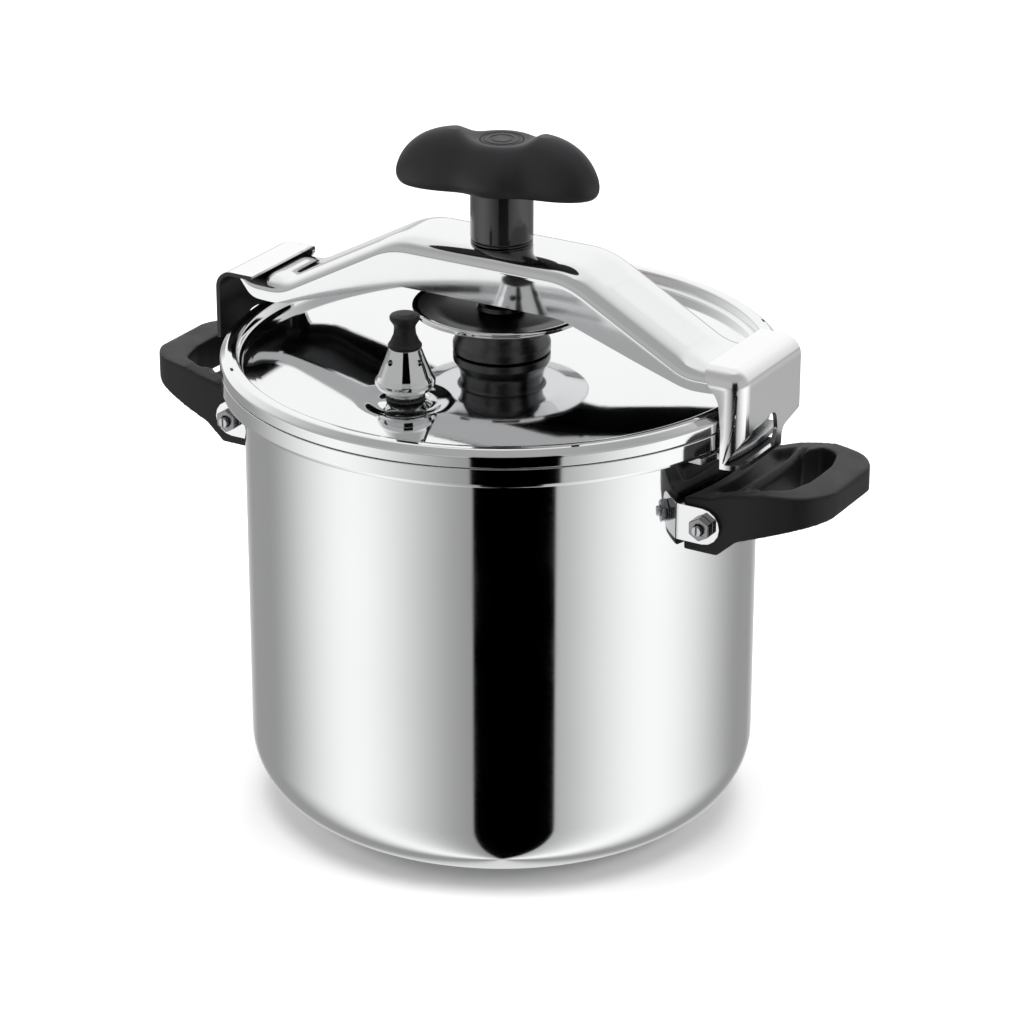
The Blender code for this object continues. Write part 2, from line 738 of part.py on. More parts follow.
def make_beam():
    stations = [0.0, 0.046, 0.051, 0.056, 0.094, 0.114, 0.119, 0.124, 0.136, 0.1400, 0.1425]
    xs = [-x for x in reversed(stations[1:])] + stations
    shape = bmesh.new()
    rings = []
    for x in xs:
        rings.append([shape.verts.new((x, y, z)) for y, z in beam_section(x)])
    count = len(rings[0])
    for first, second in zip(rings, rings[1:]):
        for k in range(count):
            j = (k + 1) % count
            shape.faces.new((first[k], first[j], second[j], second[k]))
    shape.faces.new(list(reversed(rings[0])))
    shape.faces.new(rings[-1])
    bmesh.ops.triangulate(shape, faces=[face for face in shape.faces if len(face.verts) > 4])
    mesh = bpy.data.meshes.new("beam")
    shape.to_mesh(mesh)
    shape.free()
    beam = link(bpy.data.objects.new("beam", mesh), None)
    beam = bake(beam, polished_steel("beam_steel"))
    hole = rod("beam_hole", (0.0, 0.0, 0.28), (0.0, 0.0, 0.32), 0.0128, sides=28, cutter=True)
    combine(beam, [hole])


def make_claw():
    steel = polished_steel("claw_steel")
    low = (CLAW_INNER - 0.010, CLAW_SHUT_Y, CLAW_BOTTOM)
    high = (CLAW_OUTER, CLAW_OPEN_Y + 0.010, CLAW_TOP)
    claw = domed_box("claw_right", low, high, CLAW_ROUND, steel)
    inside_low = (0.090, CLAW_SHUT_Y + CLAW_SHEET, CLAW_BOTTOM + CLAW_SHEET)
    inside_high = (CLAW_OUTER - CLAW_SHEET, 0.080, CLAW_TOP - CLAW_SHEET)
    inside = domed_box("claw_inside", inside_low, inside_high, CLAW_ROUND - CLAW_SHEET, segments=3, cutter=True)
    throat = [(0.105, 0.275), (0.1238, 0.275), (0.1262, 0.2680), (0.1412, 0.2600), (0.1412, 0.210), (0.105, 0.210)]
    throat = settle(plate("claw_throat", [throat], 0.120, upright(0.0), None, True))
    low_end = box("claw_low_end", (0.10, 0.0125, 0.20), (0.17, 0.06, 0.2295), bevel=0.0, cutter=True)
    window = box("claw_window", (0.1425, -0.0215, 0.2252), (0.170, 0.0070, 0.2390), bevel=0.0, cutter=True)
    slit = box("claw_slit", (0.1485, -0.040, 0.2285), (0.1496, CLAW_SHUT_Y + CLAW_SHEET + 0.001, 0.2620), cutter=True)
    far_end = box("claw_far_end", (0.08, CLAW_OPEN_Y, 0.20), (0.17, 0.06, 0.29), cutter=True)
    claw = combine(claw, [inside, throat, low_end, window, slit, far_end])
    claw = settle(claw)
    mirrored(claw, "claw_left", polished_steel("claw_steel_left"), half_turn=True)


def make_thread():
    """The clamping spindle: foot, neck, threaded length, plain shank and top stud, as one loft."""
    sides = 12
    plain = [
        (0.0, 0.2534),
        (0.0068, 0.2534),
        (0.0074, 0.2540),
        (0.0074, 0.2570),
        (0.0060, 0.2574),
        (0.0060, 0.2710),
        (SPINDLE_RADIUS - THREAD_DEPTH, 0.2722),
    ]
    start, end = 0.2725, 0.3060
    rows = int(round((end - start) / THREAD_LEAD * 3))
    top = [
        (SPINDLE_RADIUS - THREAD_DEPTH, 0.3066),
        (SPINDLE_RADIUS, 0.3075),
        (SPINDLE_RADIUS, 0.3480),
        (0.0046, 0.3486),
        (0.0046, 0.3545),
        (0.0, 0.3545),
    ]
    rings = [("plain", radius, height) for radius, height in plain]
    rings += [("thread", 0.0, start + (end - start) * k / rows) for k in range(rows + 1)]
    rings += [("plain", radius, height) for radius, height in top]
    shape = bmesh.new()
    made = []
    for kind, radius, height in rings:
        if kind == "plain" and radius == 0.0:
            made.append([shape.verts.new((0.0, 0.0, height))])
            continue
        ring = []
        for k in range(sides):
            angle = math.tau * k / sides
            reach = radius
            if kind == "thread":
                phase = (height / THREAD_LEAD - k / sides) % 1.0
                reach = SPINDLE_RADIUS - THREAD_DEPTH * abs(2.0 * phase - 1.0)
            ring.append(shape.verts.new((reach * math.cos(angle), reach * math.sin(angle), height)))
        made.append(ring)
    for lower, upper in zip(made, made[1:]):
        for k in range(sides):
            j = (k + 1) % sides
            if len(lower) == 1:
                shape.faces.new((lower[0], upper[j], upper[k]))
            elif len(upper) == 1:
                shape.faces.new((lower[k], lower[j], upper[0]))
            else:
                shape.faces.new((lower[k], lower[j], upper[j], upper[k]))
    mesh = bpy.data.meshes.new("spindle")
    shape.to_mesh(mesh)
    shape.free()
    oxide = make_material("spindle_oxide", (0.05, 0.05, 0.052), 0.32, 1.0)
    bake(link(bpy.data.objects.new("spindle", mesh), None), oxide)


def make_screw_parts():
    bush = [
        (0.0124, 0.3046),
        (0.0124, 0.3024),
        (0.0165, 0.3022),
        (0.0172, 0.3012),
        (0.0172, 0.2900),
        (0.0162, 0.2888),
        (0.0099, 0.2888),
        (0.0099, 0.3046),
    ]
    turned("beam_bush", bush, satin_steel("bush_steel"), SMALL_RINGS)
    collar = [
        (0.0168, BEAM_CREST + 0.0011),
        (0.0172, BEAM_CREST + 0.0008),
        (0.0172, BEAM_CREST + GAP),
        (0.0134, BEAM_CREST + GAP),
        (0.0134, BEAM_CREST + 0.0011),
    ]
    turned("stem_collar", collar, black_plastic("collar_plastic"), MID_RINGS)
    sleeve = [
        (SLEEVE_RADIUS, KNOB_BOTTOM - GAP),
        (SLEEVE_RADIUS, BEAM_CREST + 0.0020),
        (SLEEVE_RADIUS - 0.0006, BEAM_CREST + 0.0014),
        (0.0100, BEAM_CREST + 0.0014),
        (0.0100, KNOB_BOTTOM - GAP),
    ]
    turned("stem_sleeve", sleeve, make_material("sleeve_black", (0.03, 0.03, 0.03), 0.15, 0.6), MID_RINGS)


def knob_reach(angle):
    """Plan radius of the knob: two long finger lobes, a shorter thumb lobe and a round hub."""
    reach = KNOB_HUB
    for middle, length, spread in ((0.0, 0.0150, 26.0), (100.0, 0.0285, 17.0), (-100.0, 0.0285, 17.0)):
        away = (math.degrees(angle - KNOB_TURN) - middle + 180.0) % 360.0 - 180.0
        reach += length * math.exp(-0.5 * (away / spread) ** 2)
    return reach


def knob_crest(angle):
    """How far the two long lobes stand above the rest of the knob in a direction, from 0 to 1."""
    shares = []
    for middle in (100.0, -100.0):
        away = (math.degrees(angle - KNOB_TURN) - middle + 180.0) % 360.0 - 180.0
        shares.append(math.exp(-0.5 * (away / 24.0) ** 2))
    return max(shares)


def make_knob():
    profile = [
        (0.45, KNOB_CROWN, 0.0),
        (0.66, KNOB_CROWN, 1.0),
        (0.82, KNOB_CROWN - 0.0040, 0.9),
        (0.94, KNOB_CROWN - 0.0110, 0.4),
        (1.0, 0.3392, 0.0),
        (0.985, 0.3354, 0.0),
        (0.93, KNOB_BOTTOM, 0.0),
        (0.45, KNOB_BOTTOM, 0.0),
    ]
    sides = 42
    shape = bmesh.new()
    top = shape.verts.new((0.0, 0.0, KNOB_CROWN - 0.0018))
    bottom = shape.verts.new((0.0, 0.0, KNOB_BOTTOM))
    rings = []
    for share, level, rise in profile:
        ring = []
        for k in range(sides):
            angle = math.tau * k / sides
            reach = knob_reach(angle) * share
            height = level + (KNOB_TOP - KNOB_CROWN) * rise * knob_crest(angle)
            ring.append(shape.verts.new((reach * math.cos(angle), reach * math.sin(angle), height)))
        rings.append(ring)
    for k in range(sides):
        j = (k + 1) % sides
        shape.faces.new((top, rings[0][k], rings[0][j]))
        for upper, lower in zip(rings, rings[1:]):
            shape.faces.new((upper[k], lower[k], lower[j], upper[j]))
        shape.faces.new((bottom, rings[-1][j], rings[-1][k]))
    mesh = bpy.data.meshes.new("knob")
    shape.to_mesh(mesh)
    shape.free()
    knob = bake(link(bpy.data.objects.new("knob", mesh), None), black_plastic("knob_plastic"))
    shank = rod("knob_shank_hole", (0, 0, 0.3300), (0, 0, 0.3490), 0.0099, sides=24, cutter=True)
    stud = rod("knob_stud_hole", (0, 0, 0.3480), (0, 0, 0.3512), 0.0050, sides=24, cutter=True)
    recess = rod("knob_recess", (0, 0, 0.3507), (0, 0, 0.3700), 0.0112, sides=32, cutter=True)
    combine(knob, [shank, stud, recess])
    hexagon_nut("knob_nut", (0.0, 0.0), 0.3510, 0.3540, 0.0085, 0.0049, satin_steel("knob_nut_steel"))
    cap = [
        (0.0, KNOB_CROWN),
        (0.0058, KNOB_CROWN - 0.0001),
        (0.0062, KNOB_CROWN - 0.0006),
        (0.0066, KNOB_CROWN - 0.0006),
        (0.0070, KNOB_CROWN - 0.0001),
        (0.0102, KNOB_CROWN - 0.0003),
        (0.0109, KNOB_CROWN - 0.0009),
        (0.0109, 0.3550),
        (0.0, 0.3550),
    ]
    turned("knob_cap", cap, black_plastic("knob_cap_plastic"), MID_RINGS - 4, closed=False)


def make_dish():
    dish = [
        (0.0118, DISH_TOP + 0.0004),
        (0.0122, DISH_TOP - 0.0024),
        (0.0330, DISH_TOP - 0.0024),
        (DISH_RADIUS - 0.0030, DISH_TOP - 0.0004),
        (DISH_RADIUS - 0.0010, DISH_TOP),
        (DISH_RADIUS, DISH_TOP - 0.0008),
        (DISH_RADIUS, DISH_TOP - 0.0022),
        (DISH_RADIUS - 0.0012, DISH_TOP - 0.0028),
        (0.0340, DISH_TOP - 0.0048),
        (DISH_HUB - 0.0040, DISH_TOP - 0.0050),
        (DISH_HUB - 0.0030, DISH_BOTTOM + 0.0120),
        (DISH_HUB, DISH_BOTTOM + 0.0040),
        (DISH_HUB, DISH_BOTTOM + 0.0006),
        (DISH_HUB - 0.0008, DISH_BOTTOM),
        (0.0, DISH_BOTTOM),
        (0.0, 0.2530),
        (0.0078, 0.2530),
        (0.0078, DISH_TOP + 0.0004),
    ]
    turned("pressure_dish", dish, polished_steel("dish_steel"), MID_RINGS + 4)
    ring = [(0.0075, 0.2604), (0.0075, 0.2580), (0.0063, 0.2580), (0.0063, 0.2604)]
    turned("dish_retainer", ring, satin_steel("retainer_steel"), SMALL_RINGS)


clear_scene()
PARTS = make_collection(OBJECT)
CUTTERS = make_collection("cutters", hidden=True)
make_pot()
make_lugs()
make_bracket()
make_grip()
make_handle_bolts()
make_lid()
make_vent()
make_weight()
make_safety_valve()
make_beam()
make_claw()
make_thread()
make_screw_parts()
make_knob()
make_dish()
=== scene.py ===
"""Looks for the screw-clamp pressure canner: fine meshes, finishes and a plain studio."""

import json
import math

import bmesh
import bpy
from mathutils import Matrix, Vector


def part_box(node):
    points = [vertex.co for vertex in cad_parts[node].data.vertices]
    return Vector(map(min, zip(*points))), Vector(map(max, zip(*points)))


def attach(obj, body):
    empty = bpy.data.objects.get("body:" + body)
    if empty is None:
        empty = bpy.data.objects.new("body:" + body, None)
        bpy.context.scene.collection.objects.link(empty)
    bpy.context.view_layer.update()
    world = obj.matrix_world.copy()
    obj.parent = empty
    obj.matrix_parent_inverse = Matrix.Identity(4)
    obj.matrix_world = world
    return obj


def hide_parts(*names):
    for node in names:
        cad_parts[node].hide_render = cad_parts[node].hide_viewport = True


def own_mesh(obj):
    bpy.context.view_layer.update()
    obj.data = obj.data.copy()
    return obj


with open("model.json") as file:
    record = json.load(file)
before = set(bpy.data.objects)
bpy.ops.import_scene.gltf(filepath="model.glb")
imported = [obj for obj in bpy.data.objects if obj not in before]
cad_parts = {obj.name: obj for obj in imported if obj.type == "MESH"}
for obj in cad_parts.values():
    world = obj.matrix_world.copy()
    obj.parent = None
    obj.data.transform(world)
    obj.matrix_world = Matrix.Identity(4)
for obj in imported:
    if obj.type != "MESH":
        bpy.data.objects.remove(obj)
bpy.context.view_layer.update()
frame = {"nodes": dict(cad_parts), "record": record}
RECORD = frame["record"]
BODY_OF = {node: body for body, nodes in RECORD["behaviour"]["bodies"].items() for node in nodes}

# Sides of turned shapes
SIDES = 192
DISH_SIDES = 128
FINE_SIDES = 96
SMALL_SIDES = 64
HOLE_SIDES = 48
KNOB_SIDES = 240

# All lengths are in metres. HAIR is a clearance too small to see
HAIR = 0.0003

# Pot and lid
POT_WALL = 0.0011
POT_CORNER = 0.034
COLLAR_PROUD = 0.0115
COLLAR_WALL = 0.0012
SHELF_BELOW_LID = 0.0109
LID_SHEET = 0.0011
LID_RIM_WIDTH = 0.0092
PANEL_EDGE = 0.1270
PANEL_BEND = 0.1272
PANEL_RISE = 0.0050
PANEL_ROWS = 84
DIMPLE_DEPTH = 0.0011
DIMPLE_RADIUS = 0.0235
LID_HOLES = (("vent_pipe", 0.0054), ("safety_body", 0.0064))
RIM_SLOT_INSET = 0.0038
STEAM_HOLE_RADIUS = 0.0016
STEAM_HOLE_DROP = 0.0074
STEAM_HOLE_TURN = -14.5

# Clamp and screw
BEAM_SHEET = 0.0020
BEAM_SHOULDER = 0.0088
BEAM_STATIONS = 240
BEAM_HOLE_RADIUS = 0.0128
OUTLINE_PLACE = 0.0900
OUTLINE_HALF_LENGTH = 0.0215
OUTLINE_HALF_WIDTH = 0.0105
OUTLINE_HEIGHT = 0.00034
CLAW_SHEET = 0.0022
CLAW_ROUND = 0.0095
SLEEVE_BORE = 0.0100
WASHER_BORE = 0.0134
DISH_HUB = 0.0250
SPRING_WIRE = 0.00055
SPRING_TURNS = 4

# Knob, with its lobes' places and widths in degrees round the axis
THUMB_LOBE_TURN = 103.0
LONG_LOBE_OFFSET = 100.0
KNOB_HUB = 0.0250
LONG_LOBE_SPREAD = 30.0

# Grips
POT_SIDE_RADIUS = 0.1338
BOLT_BORE = 0.0029
GRIP_SHOULDER = 0.2010
GRIP_VOXEL = 0.0008

# Camera
CAMERA_AZIMUTH = 30.5
CAMERA_ELEVATION = 23.27
CAMERA_DISTANCE = 2.0
CAMERA_TARGET = 0.16
CAMERA_LENS = 136.0
CAMERA_SHIFT = (0.0099, -0.0071)

# Studio: places in degrees from the camera's own side of the pot, and strengths
RIGHT_BOX = (72.0, 66.0, 0.78)
LEFT_BOX = (-70.0, 60.0, 0.74)
LOWER_LIGHT = 0.34
CARD_PLACE = 5.5
CARD_EDGE = (17.4, 19.0)
CARD_TOP = (30.0, 42.0)
BAND_HEIGHT = 1.5
BAND_EDGE = (1.0, 5.0)
BAND_LIGHT = 0.62


# ---------------------------------------------------------------- meshes


def low(node):
    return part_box(node)[0]


def high(node):
    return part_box(node)[1]


def middle(node):
    return (low(node) + high(node)) / 2


def blank(name, shape):
    """An object from a bmesh, with flat faces and no modifiers."""
    mesh = bpy.data.meshes.new(name)
    shape.to_mesh(mesh)
    shape.free()
    obj = bpy.data.objects.new(name, mesh)
    bpy.context.scene.collection.objects.link(obj)
    return obj


def smooth(obj, degrees=32.0):
    """Shades obj smooth, apart from edges sharper than degrees."""
    for polygon in obj.data.polygons:
        polygon.use_smooth = True
    obj.data.set_sharp_from_angle(angle=math.radians(degrees))
    weighted = obj.modifiers.new("weighted normals", "WEIGHTED_NORMAL")
    weighted.keep_sharp = True
    return obj


def rounded(corners, steps=6):
    """A profile from (across, up, corner radius) points, each corner turned into a smooth curve."""
    points = []
    for k, (x, z, radius) in enumerate(corners):
        here = Vector((x, z))
        if radius == 0.0 or k in (0, len(corners) - 1):
            points.append((x, z))
            continue
        before = Vector(corners[k - 1][:2]) - here
        after = Vector(corners[k + 1][:2]) - here
        reach = radius / math.tan(before.angle(after) / 2)
        reach = min(reach, before.length * 0.49, after.length * 0.49)
        start = here + before.normalized() * reach
        end = here + after.normalized() * reach
        for j in range(steps + 1):
            t = j / steps
            point = start * (1 - t) ** 2 + here * (2 * t * (1 - t)) + end * t**2
            points.append((point.x, point.y))
    return points


def ease(value, start, end):
    """0 before start, 1 after end and smooth in between."""
    t = min(max((value - start) / (end - start), 0.0), 1.0)
    return t * t * (3 - 2 * t)


def along(points, x):
    """Height at x of a line through points, which are in order of x."""
    for (x0, z0), (x1, z1) in zip(points, points[1:]):
        if x <= x1:
            return z0 + (z1 - z0) * (x - x0) / max(x1 - x0, 1e-9)
    return points[-1][1]


def skin(name, rings, closed=False, ends=False, degrees=32.0):
    """A surface through rings of points, all of one length or a single point at a tip."""
    shape = bmesh.new()
    made = [[shape.verts.new(point) for point in ring] for ring in rings]
    pairs = list(zip(made, made[1:]))
    if closed:
        pairs.append((made[-1], made[0]))
    for first, second in pairs:
        count = max(len(first), len(second))
        for k in range(count):
            j = (k + 1) % count
            if len(first) == 1:
                corners = (first[0], second[j], second[k])
            elif len(second) == 1:
                corners = (first[k], first[j], second[0])
            else:
                corners = (first[k], first[j], second[j], second[k])
            shape.faces.new(corners)
    if ends:
        shape.faces.new(made[0])
        shape.faces.new(made[-1])
    bmesh.ops.recalc_face_normals(shape, faces=shape.faces)
    return smooth(blank(name, shape), degrees)


def circle(radius, height, centre=(0.0, 0.0), sides=SIDES):
    """Points round an upright axis, or the one point at its tip."""
    if radius < 1e-7:
        return [(*centre, height)]
    x, y = centre
    turns = [math.tau * k / sides for k in range(sides)]
    return [(x + radius * math.cos(turn), y + radius * math.sin(turn), height) for turn in turns]


def spun(name, profile, centre=(0.0, 0.0), sides=SIDES, closed=False):
    """A turned shape from (radius, height) points."""
    return skin(name, [circle(radius, height, centre, sides) for radius, height in profile], closed)


def drill(name, radius, start, end, centre=(0.0, 0.0), sides=SMALL_SIDES):
    """A plain cylinder that cuts a round upright hole."""
    hole = spun(name, [(0.0, start), (radius, start), (radius, end), (0.0, end)], centre, sides)
    hole.modifiers.clear()
    return hole


def bake(obj):
    """obj with its modifiers applied."""
    bpy.context.view_layer.update()
    graph = bpy.context.evaluated_depsgraph_get()
    mesh = bpy.data.meshes.new_from_object(obj.evaluated_get(graph))
    obj.modifiers.clear()
    obj.data = mesh
    return obj


def cuboid(lowest, highest):
    """A box as a bmesh."""
    shape = bmesh.new()
    bmesh.ops.create_cube(shape, size=1.0)
    bmesh.ops.scale(shape, vec=[b - a for a, b in zip(lowest, highest)], verts=shape.verts)
    bmesh.ops.translate(shape, vec=[(a + b) / 2 for a, b in zip(lowest, highest)], verts=shape.verts)
    return shape


def block(name, lowest, highest, bevel=0.0):
    """A box that is used as a cutter, with its edges rounded by bevel."""
    shape = cuboid(lowest, highest)
    if bevel:
        edges = list(shape.edges)
        bmesh.ops.bevel(shape, geom=edges, offset=bevel, segments=3, profile=0.5, affect="EDGES")
    return blank(name, shape)


def domed(name, lowest, highest, radius, segments):
    """A box whose upright and upper edges are rounded, and whose lower edges stay sharp."""
    shape = cuboid(lowest, highest)
    level = (lowest[2] + highest[2]) / 2
    edges = [edge for edge in shape.edges if any(vertex.co.z > level for vertex in edge.verts)]
    bmesh.ops.bevel(shape, geom=edges, offset=radius, segments=segments, profile=0.5, affect="EDGES")
    return blank(name, shape)


def prism(name, outline, start, end, up="Z"):
    """A plate from an outline: in the X-Y plane from z start to end, or with up "Y" in the X-Z plane."""
    shape = bmesh.new()
    first, second = [
        [shape.verts.new((a, b, level) if up == "Z" else (a, level, b)) for a, b in outline]
        for level in (start, end)
    ]
    for k in range(len(outline)):
        j = (k + 1) % len(outline)
        shape.faces.new((first[k], first[j], second[j], second[k]))
    shape.faces.new(first)
    shape.faces.new(second)
    bmesh.ops.recalc_face_normals(shape, faces=shape.faces)
    return blank(name, shape)


def across_prism(name, outline, start, end):
    """A plate from an outline of (y, z) points, from x start to end."""
    plate = prism(name, outline, -end, -start, "Y")
    plate.data.transform(Matrix.Rotation(math.radians(90.0), 4, "Z"))
    return plate


def cut(obj, cutters, operation="DIFFERENCE"):
    """obj with the cutters taken away, or kept to what they share; the cutters are deleted."""
    for cutter in cutters:
        step = obj.modifiers.new("cut", "BOOLEAN")
        step.operation = operation
        step.solver = "EXACT"
        step.object = cutter
    bake(obj)
    for cutter in cutters:
        bpy.data.objects.remove(cutter, do_unlink=True)
    return obj


def fine_edge(obj, width, degrees):
    """A modifier that rounds the edges sharper than degrees."""
    edge = obj.modifiers.new("edge", "BEVEL")
    edge.width = width
    edge.segments = 3
    edge.limit_method = "ANGLE"
    edge.angle_limit = math.radians(degrees)
    return edge


def soften(obj, width, degrees):
    """Rounds the sharp edges of a finished blank and shades it smooth."""
    fine_edge(obj, width, degrees).use_clamp_overlap = True
    bake(obj)
    return smooth(obj, degrees)


def turned_half(obj, name):
    """A copy turned half round the pot's axis."""
    mesh = obj.data.copy()
    mesh.transform(Matrix.Rotation(math.pi, 4, "Z"))
    copy = bpy.data.objects.new(name, mesh)
    bpy.context.scene.collection.objects.link(copy)
    return smooth(copy)


def paint_shade_inside(obj, is_shaded):
    """Gives the faces that the test passes the object's second material: painted shade, a darker steel
    where shade falls.
    """
    for polygon in obj.data.polygons:
        if is_shaded(polygon.center, polygon.normal):
            polygon.material_index = 1
    return obj


def stand_for(obj, node, *materials):
    """obj is shown in place of the CAD node, in the node's body and with the given materials."""
    kept = [polygon.material_index for polygon in obj.data.polygons]
    obj.data.materials.clear()
    for material in materials:
        obj.data.materials.append(material)
    if len(materials) > 1:
        obj.data.polygons.foreach_set("material_index", kept)
    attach(obj, BODY_OF[node])
    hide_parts(node)
    return obj


def dress(node, material, bevel=0.0):
    """A CAD node that is shown as it is, with fine edges and a finish."""
    obj = frame["nodes"][node]
    obj.data.materials.clear()
    obj.data.materials.append(material)
    weld = obj.modifiers.new("weld", "WELD")
    weld.merge_threshold = 0.000005
    if bevel:
        fine_edge(obj, bevel, 40.0)
    for polygon in obj.data.polygons:
        polygon.use_smooth = True
    weighted = obj.modifiers.new("weighted normals", "WEIGHTED_NORMAL")
    weighted.keep_sharp = True
    return obj


# ---------------------------------------------------------------- finishes

EVEN = (1.0, 1.0, 1.0)


def node_tree(name):
    """A new material with its nodes and its shader."""
    material = bpy.data.materials.new(name)
    material.use_nodes = True
    return material, material.node_tree, material.node_tree.nodes["Principled BSDF"]


def wire(tree, kind, settings=(), **inputs):
    """A new node with its settings and inputs; an input is a value or another node's socket."""
    made = tree.nodes.new(kind)
    for key, value in dict(settings).items():
        setattr(made, key, value)
    for key, value in inputs.items():
        socket = made.inputs[int(key[1:])] if key[0] == "i" and key[1:].isdigit() else made.inputs[key]
        if isinstance(value, bpy.types.NodeSocket):
            tree.links.new(value, socket)
        else:
            socket.default_value = value
    return made


def maths(tree, operation, first, second=None):
    inputs = {"i0": first} if second is None else {"i0": first, "i1": second}
    return wire(tree, "ShaderNodeMath", {"operation": operation}, **inputs).outputs[0]


def spread(tree, value, start, end, first, last, curve="LINEAR"):
    """value mapped from start..end to first..last, held at the ends."""
    settings = {"clamp": True, "interpolation_type": curve}
    made = wire(tree, "ShaderNodeMapRange", settings, i0=value, i1=start, i2=end, i3=first, i4=last)
    return made.outputs[0]


def blended(tree, share, first, second):
    """A colour that runs from first to second; each is a colour or a socket."""
    mix = wire(tree, "ShaderNodeMix", {"data_type": "RGBA"}, i0=share, i6=first, i7=second)
    return mix.outputs[2]


def shade(colour, factor=1.0):
    return (*[min(c * factor, 1.0) for c in colour], 1.0)


def object_point(tree):
    return tree.nodes.new("ShaderNodeTexCoord").outputs["Object"]


def round_point(tree, centre):
    """Coordinates round a vertical axis: angle, radius and height, so that detail follows a turned part."""
    offset = wire(tree, "ShaderNodeVectorMath", {"operation": "SUBTRACT"}, i0=object_point(tree), i1=centre)
    parts = wire(tree, "ShaderNodeSeparateXYZ", i0=offset.outputs[0]).outputs
    angle = maths(tree, "ARCTAN2", parts[1], parts[0])
    squares = [maths(tree, "MULTIPLY", part, part) for part in (parts[0], parts[1])]
    across = maths(tree, "SQRT", maths(tree, "ADD", *squares))
    turn = maths(tree, "MULTIPLY", angle, 0.1)
    return wire(tree, "ShaderNodeCombineXYZ", i0=turn, i1=across, i2=parts[2]).outputs[0]


def noise(tree, point, stretch, scale, detail, rough):
    """Noise that is finer along the axes with a larger stretch."""
    scaled = wire(tree, "ShaderNodeVectorMath", {"operation": "MULTIPLY"}, i0=point, i1=stretch)
    point = scaled.outputs[0]
    made = wire(tree, "ShaderNodeTexNoise", Vector=point, Scale=scale, Detail=detail, Roughness=rough)
    return made.outputs["Fac"]


def steel(name, colour, shine, lines, centre=None, scuffs=0.5):
    """Steel with polishing lines round centre or along a pressed part, fine scratches, and smudges."""
    material, tree, shader = node_tree(name)
    point = round_point(tree, centre) if centre is not None else object_point(tree)
    stretch = (0.6, 60.0, 60.0) if centre is None else (1.2, 70.0, 70.0)
    polish = noise(tree, point, stretch, 26.0, 4.0, 0.65)
    scratch = noise(tree, point, (9.0, 240.0, 190.0), 14.0, 2.0, 0.5)
    sparse = spread(tree, scratch, 0.66, 0.74, 0.0, 1.0)
    smudge = noise(tree, object_point(tree), EVEN, 22.0, 5.0, 0.6)
    wide = noise(tree, object_point(tree), EVEN, 7.0, 2.0, 0.5)
    worn = spread(tree, smudge, 0.35, 0.75, shine[0], shine[1])
    rough = maths(tree, "ADD", worn, maths(tree, "MULTIPLY", sparse, 0.05 * scuffs))
    rough = maths(tree, "ADD", rough, spread(tree, polish, 0.3, 0.7, 0.0, lines * 0.25))
    tree.links.new(rough, shader.inputs["Roughness"])
    tint = blended(tree, spread(tree, wide, 0.3, 0.7, 0.0, 1.0), shade(colour), shade(colour, 0.965))
    tree.links.new(tint, shader.inputs["Base Color"])
    height = maths(tree, "ADD", polish, maths(tree, "MULTIPLY", sparse, 0.6 * scuffs))
    bump = wire(tree, "ShaderNodeBump", Strength=lines, Distance=0.00002, Height=height)
    tree.links.new(bump.outputs[0], shader.inputs["Normal"])
    shader.inputs["Metallic"].default_value = 1.0
    return material


def plastic(name, colour, shine, grain, coat=0.0, gleam=0.5):
    """Moulded plastic: fine grain, slight clouding of the colour and paler, smoother worn edges."""
    material, tree, shader = node_tree(name)
    point = object_point(tree)
    fine = noise(tree, point, EVEN, 2600.0, 2.0, 0.6)
    cloud = noise(tree, point, EVEN, 60.0, 4.0, 0.6)
    flow = noise(tree, point, (14.0, 90.0, 90.0), 3.0, 2.0, 0.5)
    edge = spread(tree, tree.nodes.new("ShaderNodeNewGeometry").outputs["Pointiness"], 0.52, 0.60, 0.0, 1.0)
    tint = blended(tree, spread(tree, cloud, 0.3, 0.7, 0.0, 1.0), shade(colour), shade(colour, 1.28))
    worn = blended(tree, maths(tree, "MULTIPLY", edge, 0.5), tint, shade(colour, 2.2))
    tree.links.new(worn, shader.inputs["Base Color"])
    rough = spread(tree, cloud, 0.3, 0.7, shine[0], shine[1])
    rough = maths(tree, "SUBTRACT", rough, maths(tree, "MULTIPLY", edge, 0.06))
    tree.links.new(rough, shader.inputs["Roughness"])
    height = maths(tree, "ADD", fine, maths(tree, "MULTIPLY", flow, 0.4))
    bump = wire(tree, "ShaderNodeBump", Strength=grain, Distance=0.00006, Height=height)
    tree.links.new(bump.outputs[0], shader.inputs["Normal"])
    shader.inputs["Specular IOR Level"].default_value = gleam
    shader.inputs["Coat Weight"].default_value = coat
    shader.inputs["Coat Roughness"].default_value = 0.08
    return material


def rubber(name, colour):
    """Moulded silicone: soft, with dust-like specks and a fine matt grain."""
    material, tree, shader = node_tree(name)
    point = object_point(tree)
    fine = noise(tree, point, EVEN, 1800.0, 3.0, 0.7)
    cloud = noise(tree, point, EVEN, 90.0, 3.0, 0.6)
    tint = blended(tree, spread(tree, cloud, 0.35, 0.7, 0.0, 1.0), shade(colour), shade(colour, 0.86))
    tree.links.new(tint, shader.inputs["Base Color"])
    tree.links.new(spread(tree, fine, 0.3, 0.7, 0.48, 0.68), shader.inputs["Roughness"])
    bump = wire(tree, "ShaderNodeBump", Strength=0.25, Distance=0.00005, Height=fine)
    tree.links.new(bump.outputs[0], shader.inputs["Normal"])
    shader.inputs["Subsurface Weight"].default_value = 0.08
    shader.inputs["Subsurface Scale"].default_value = 0.002
    return material


# ---------------------------------------------------------------- pot


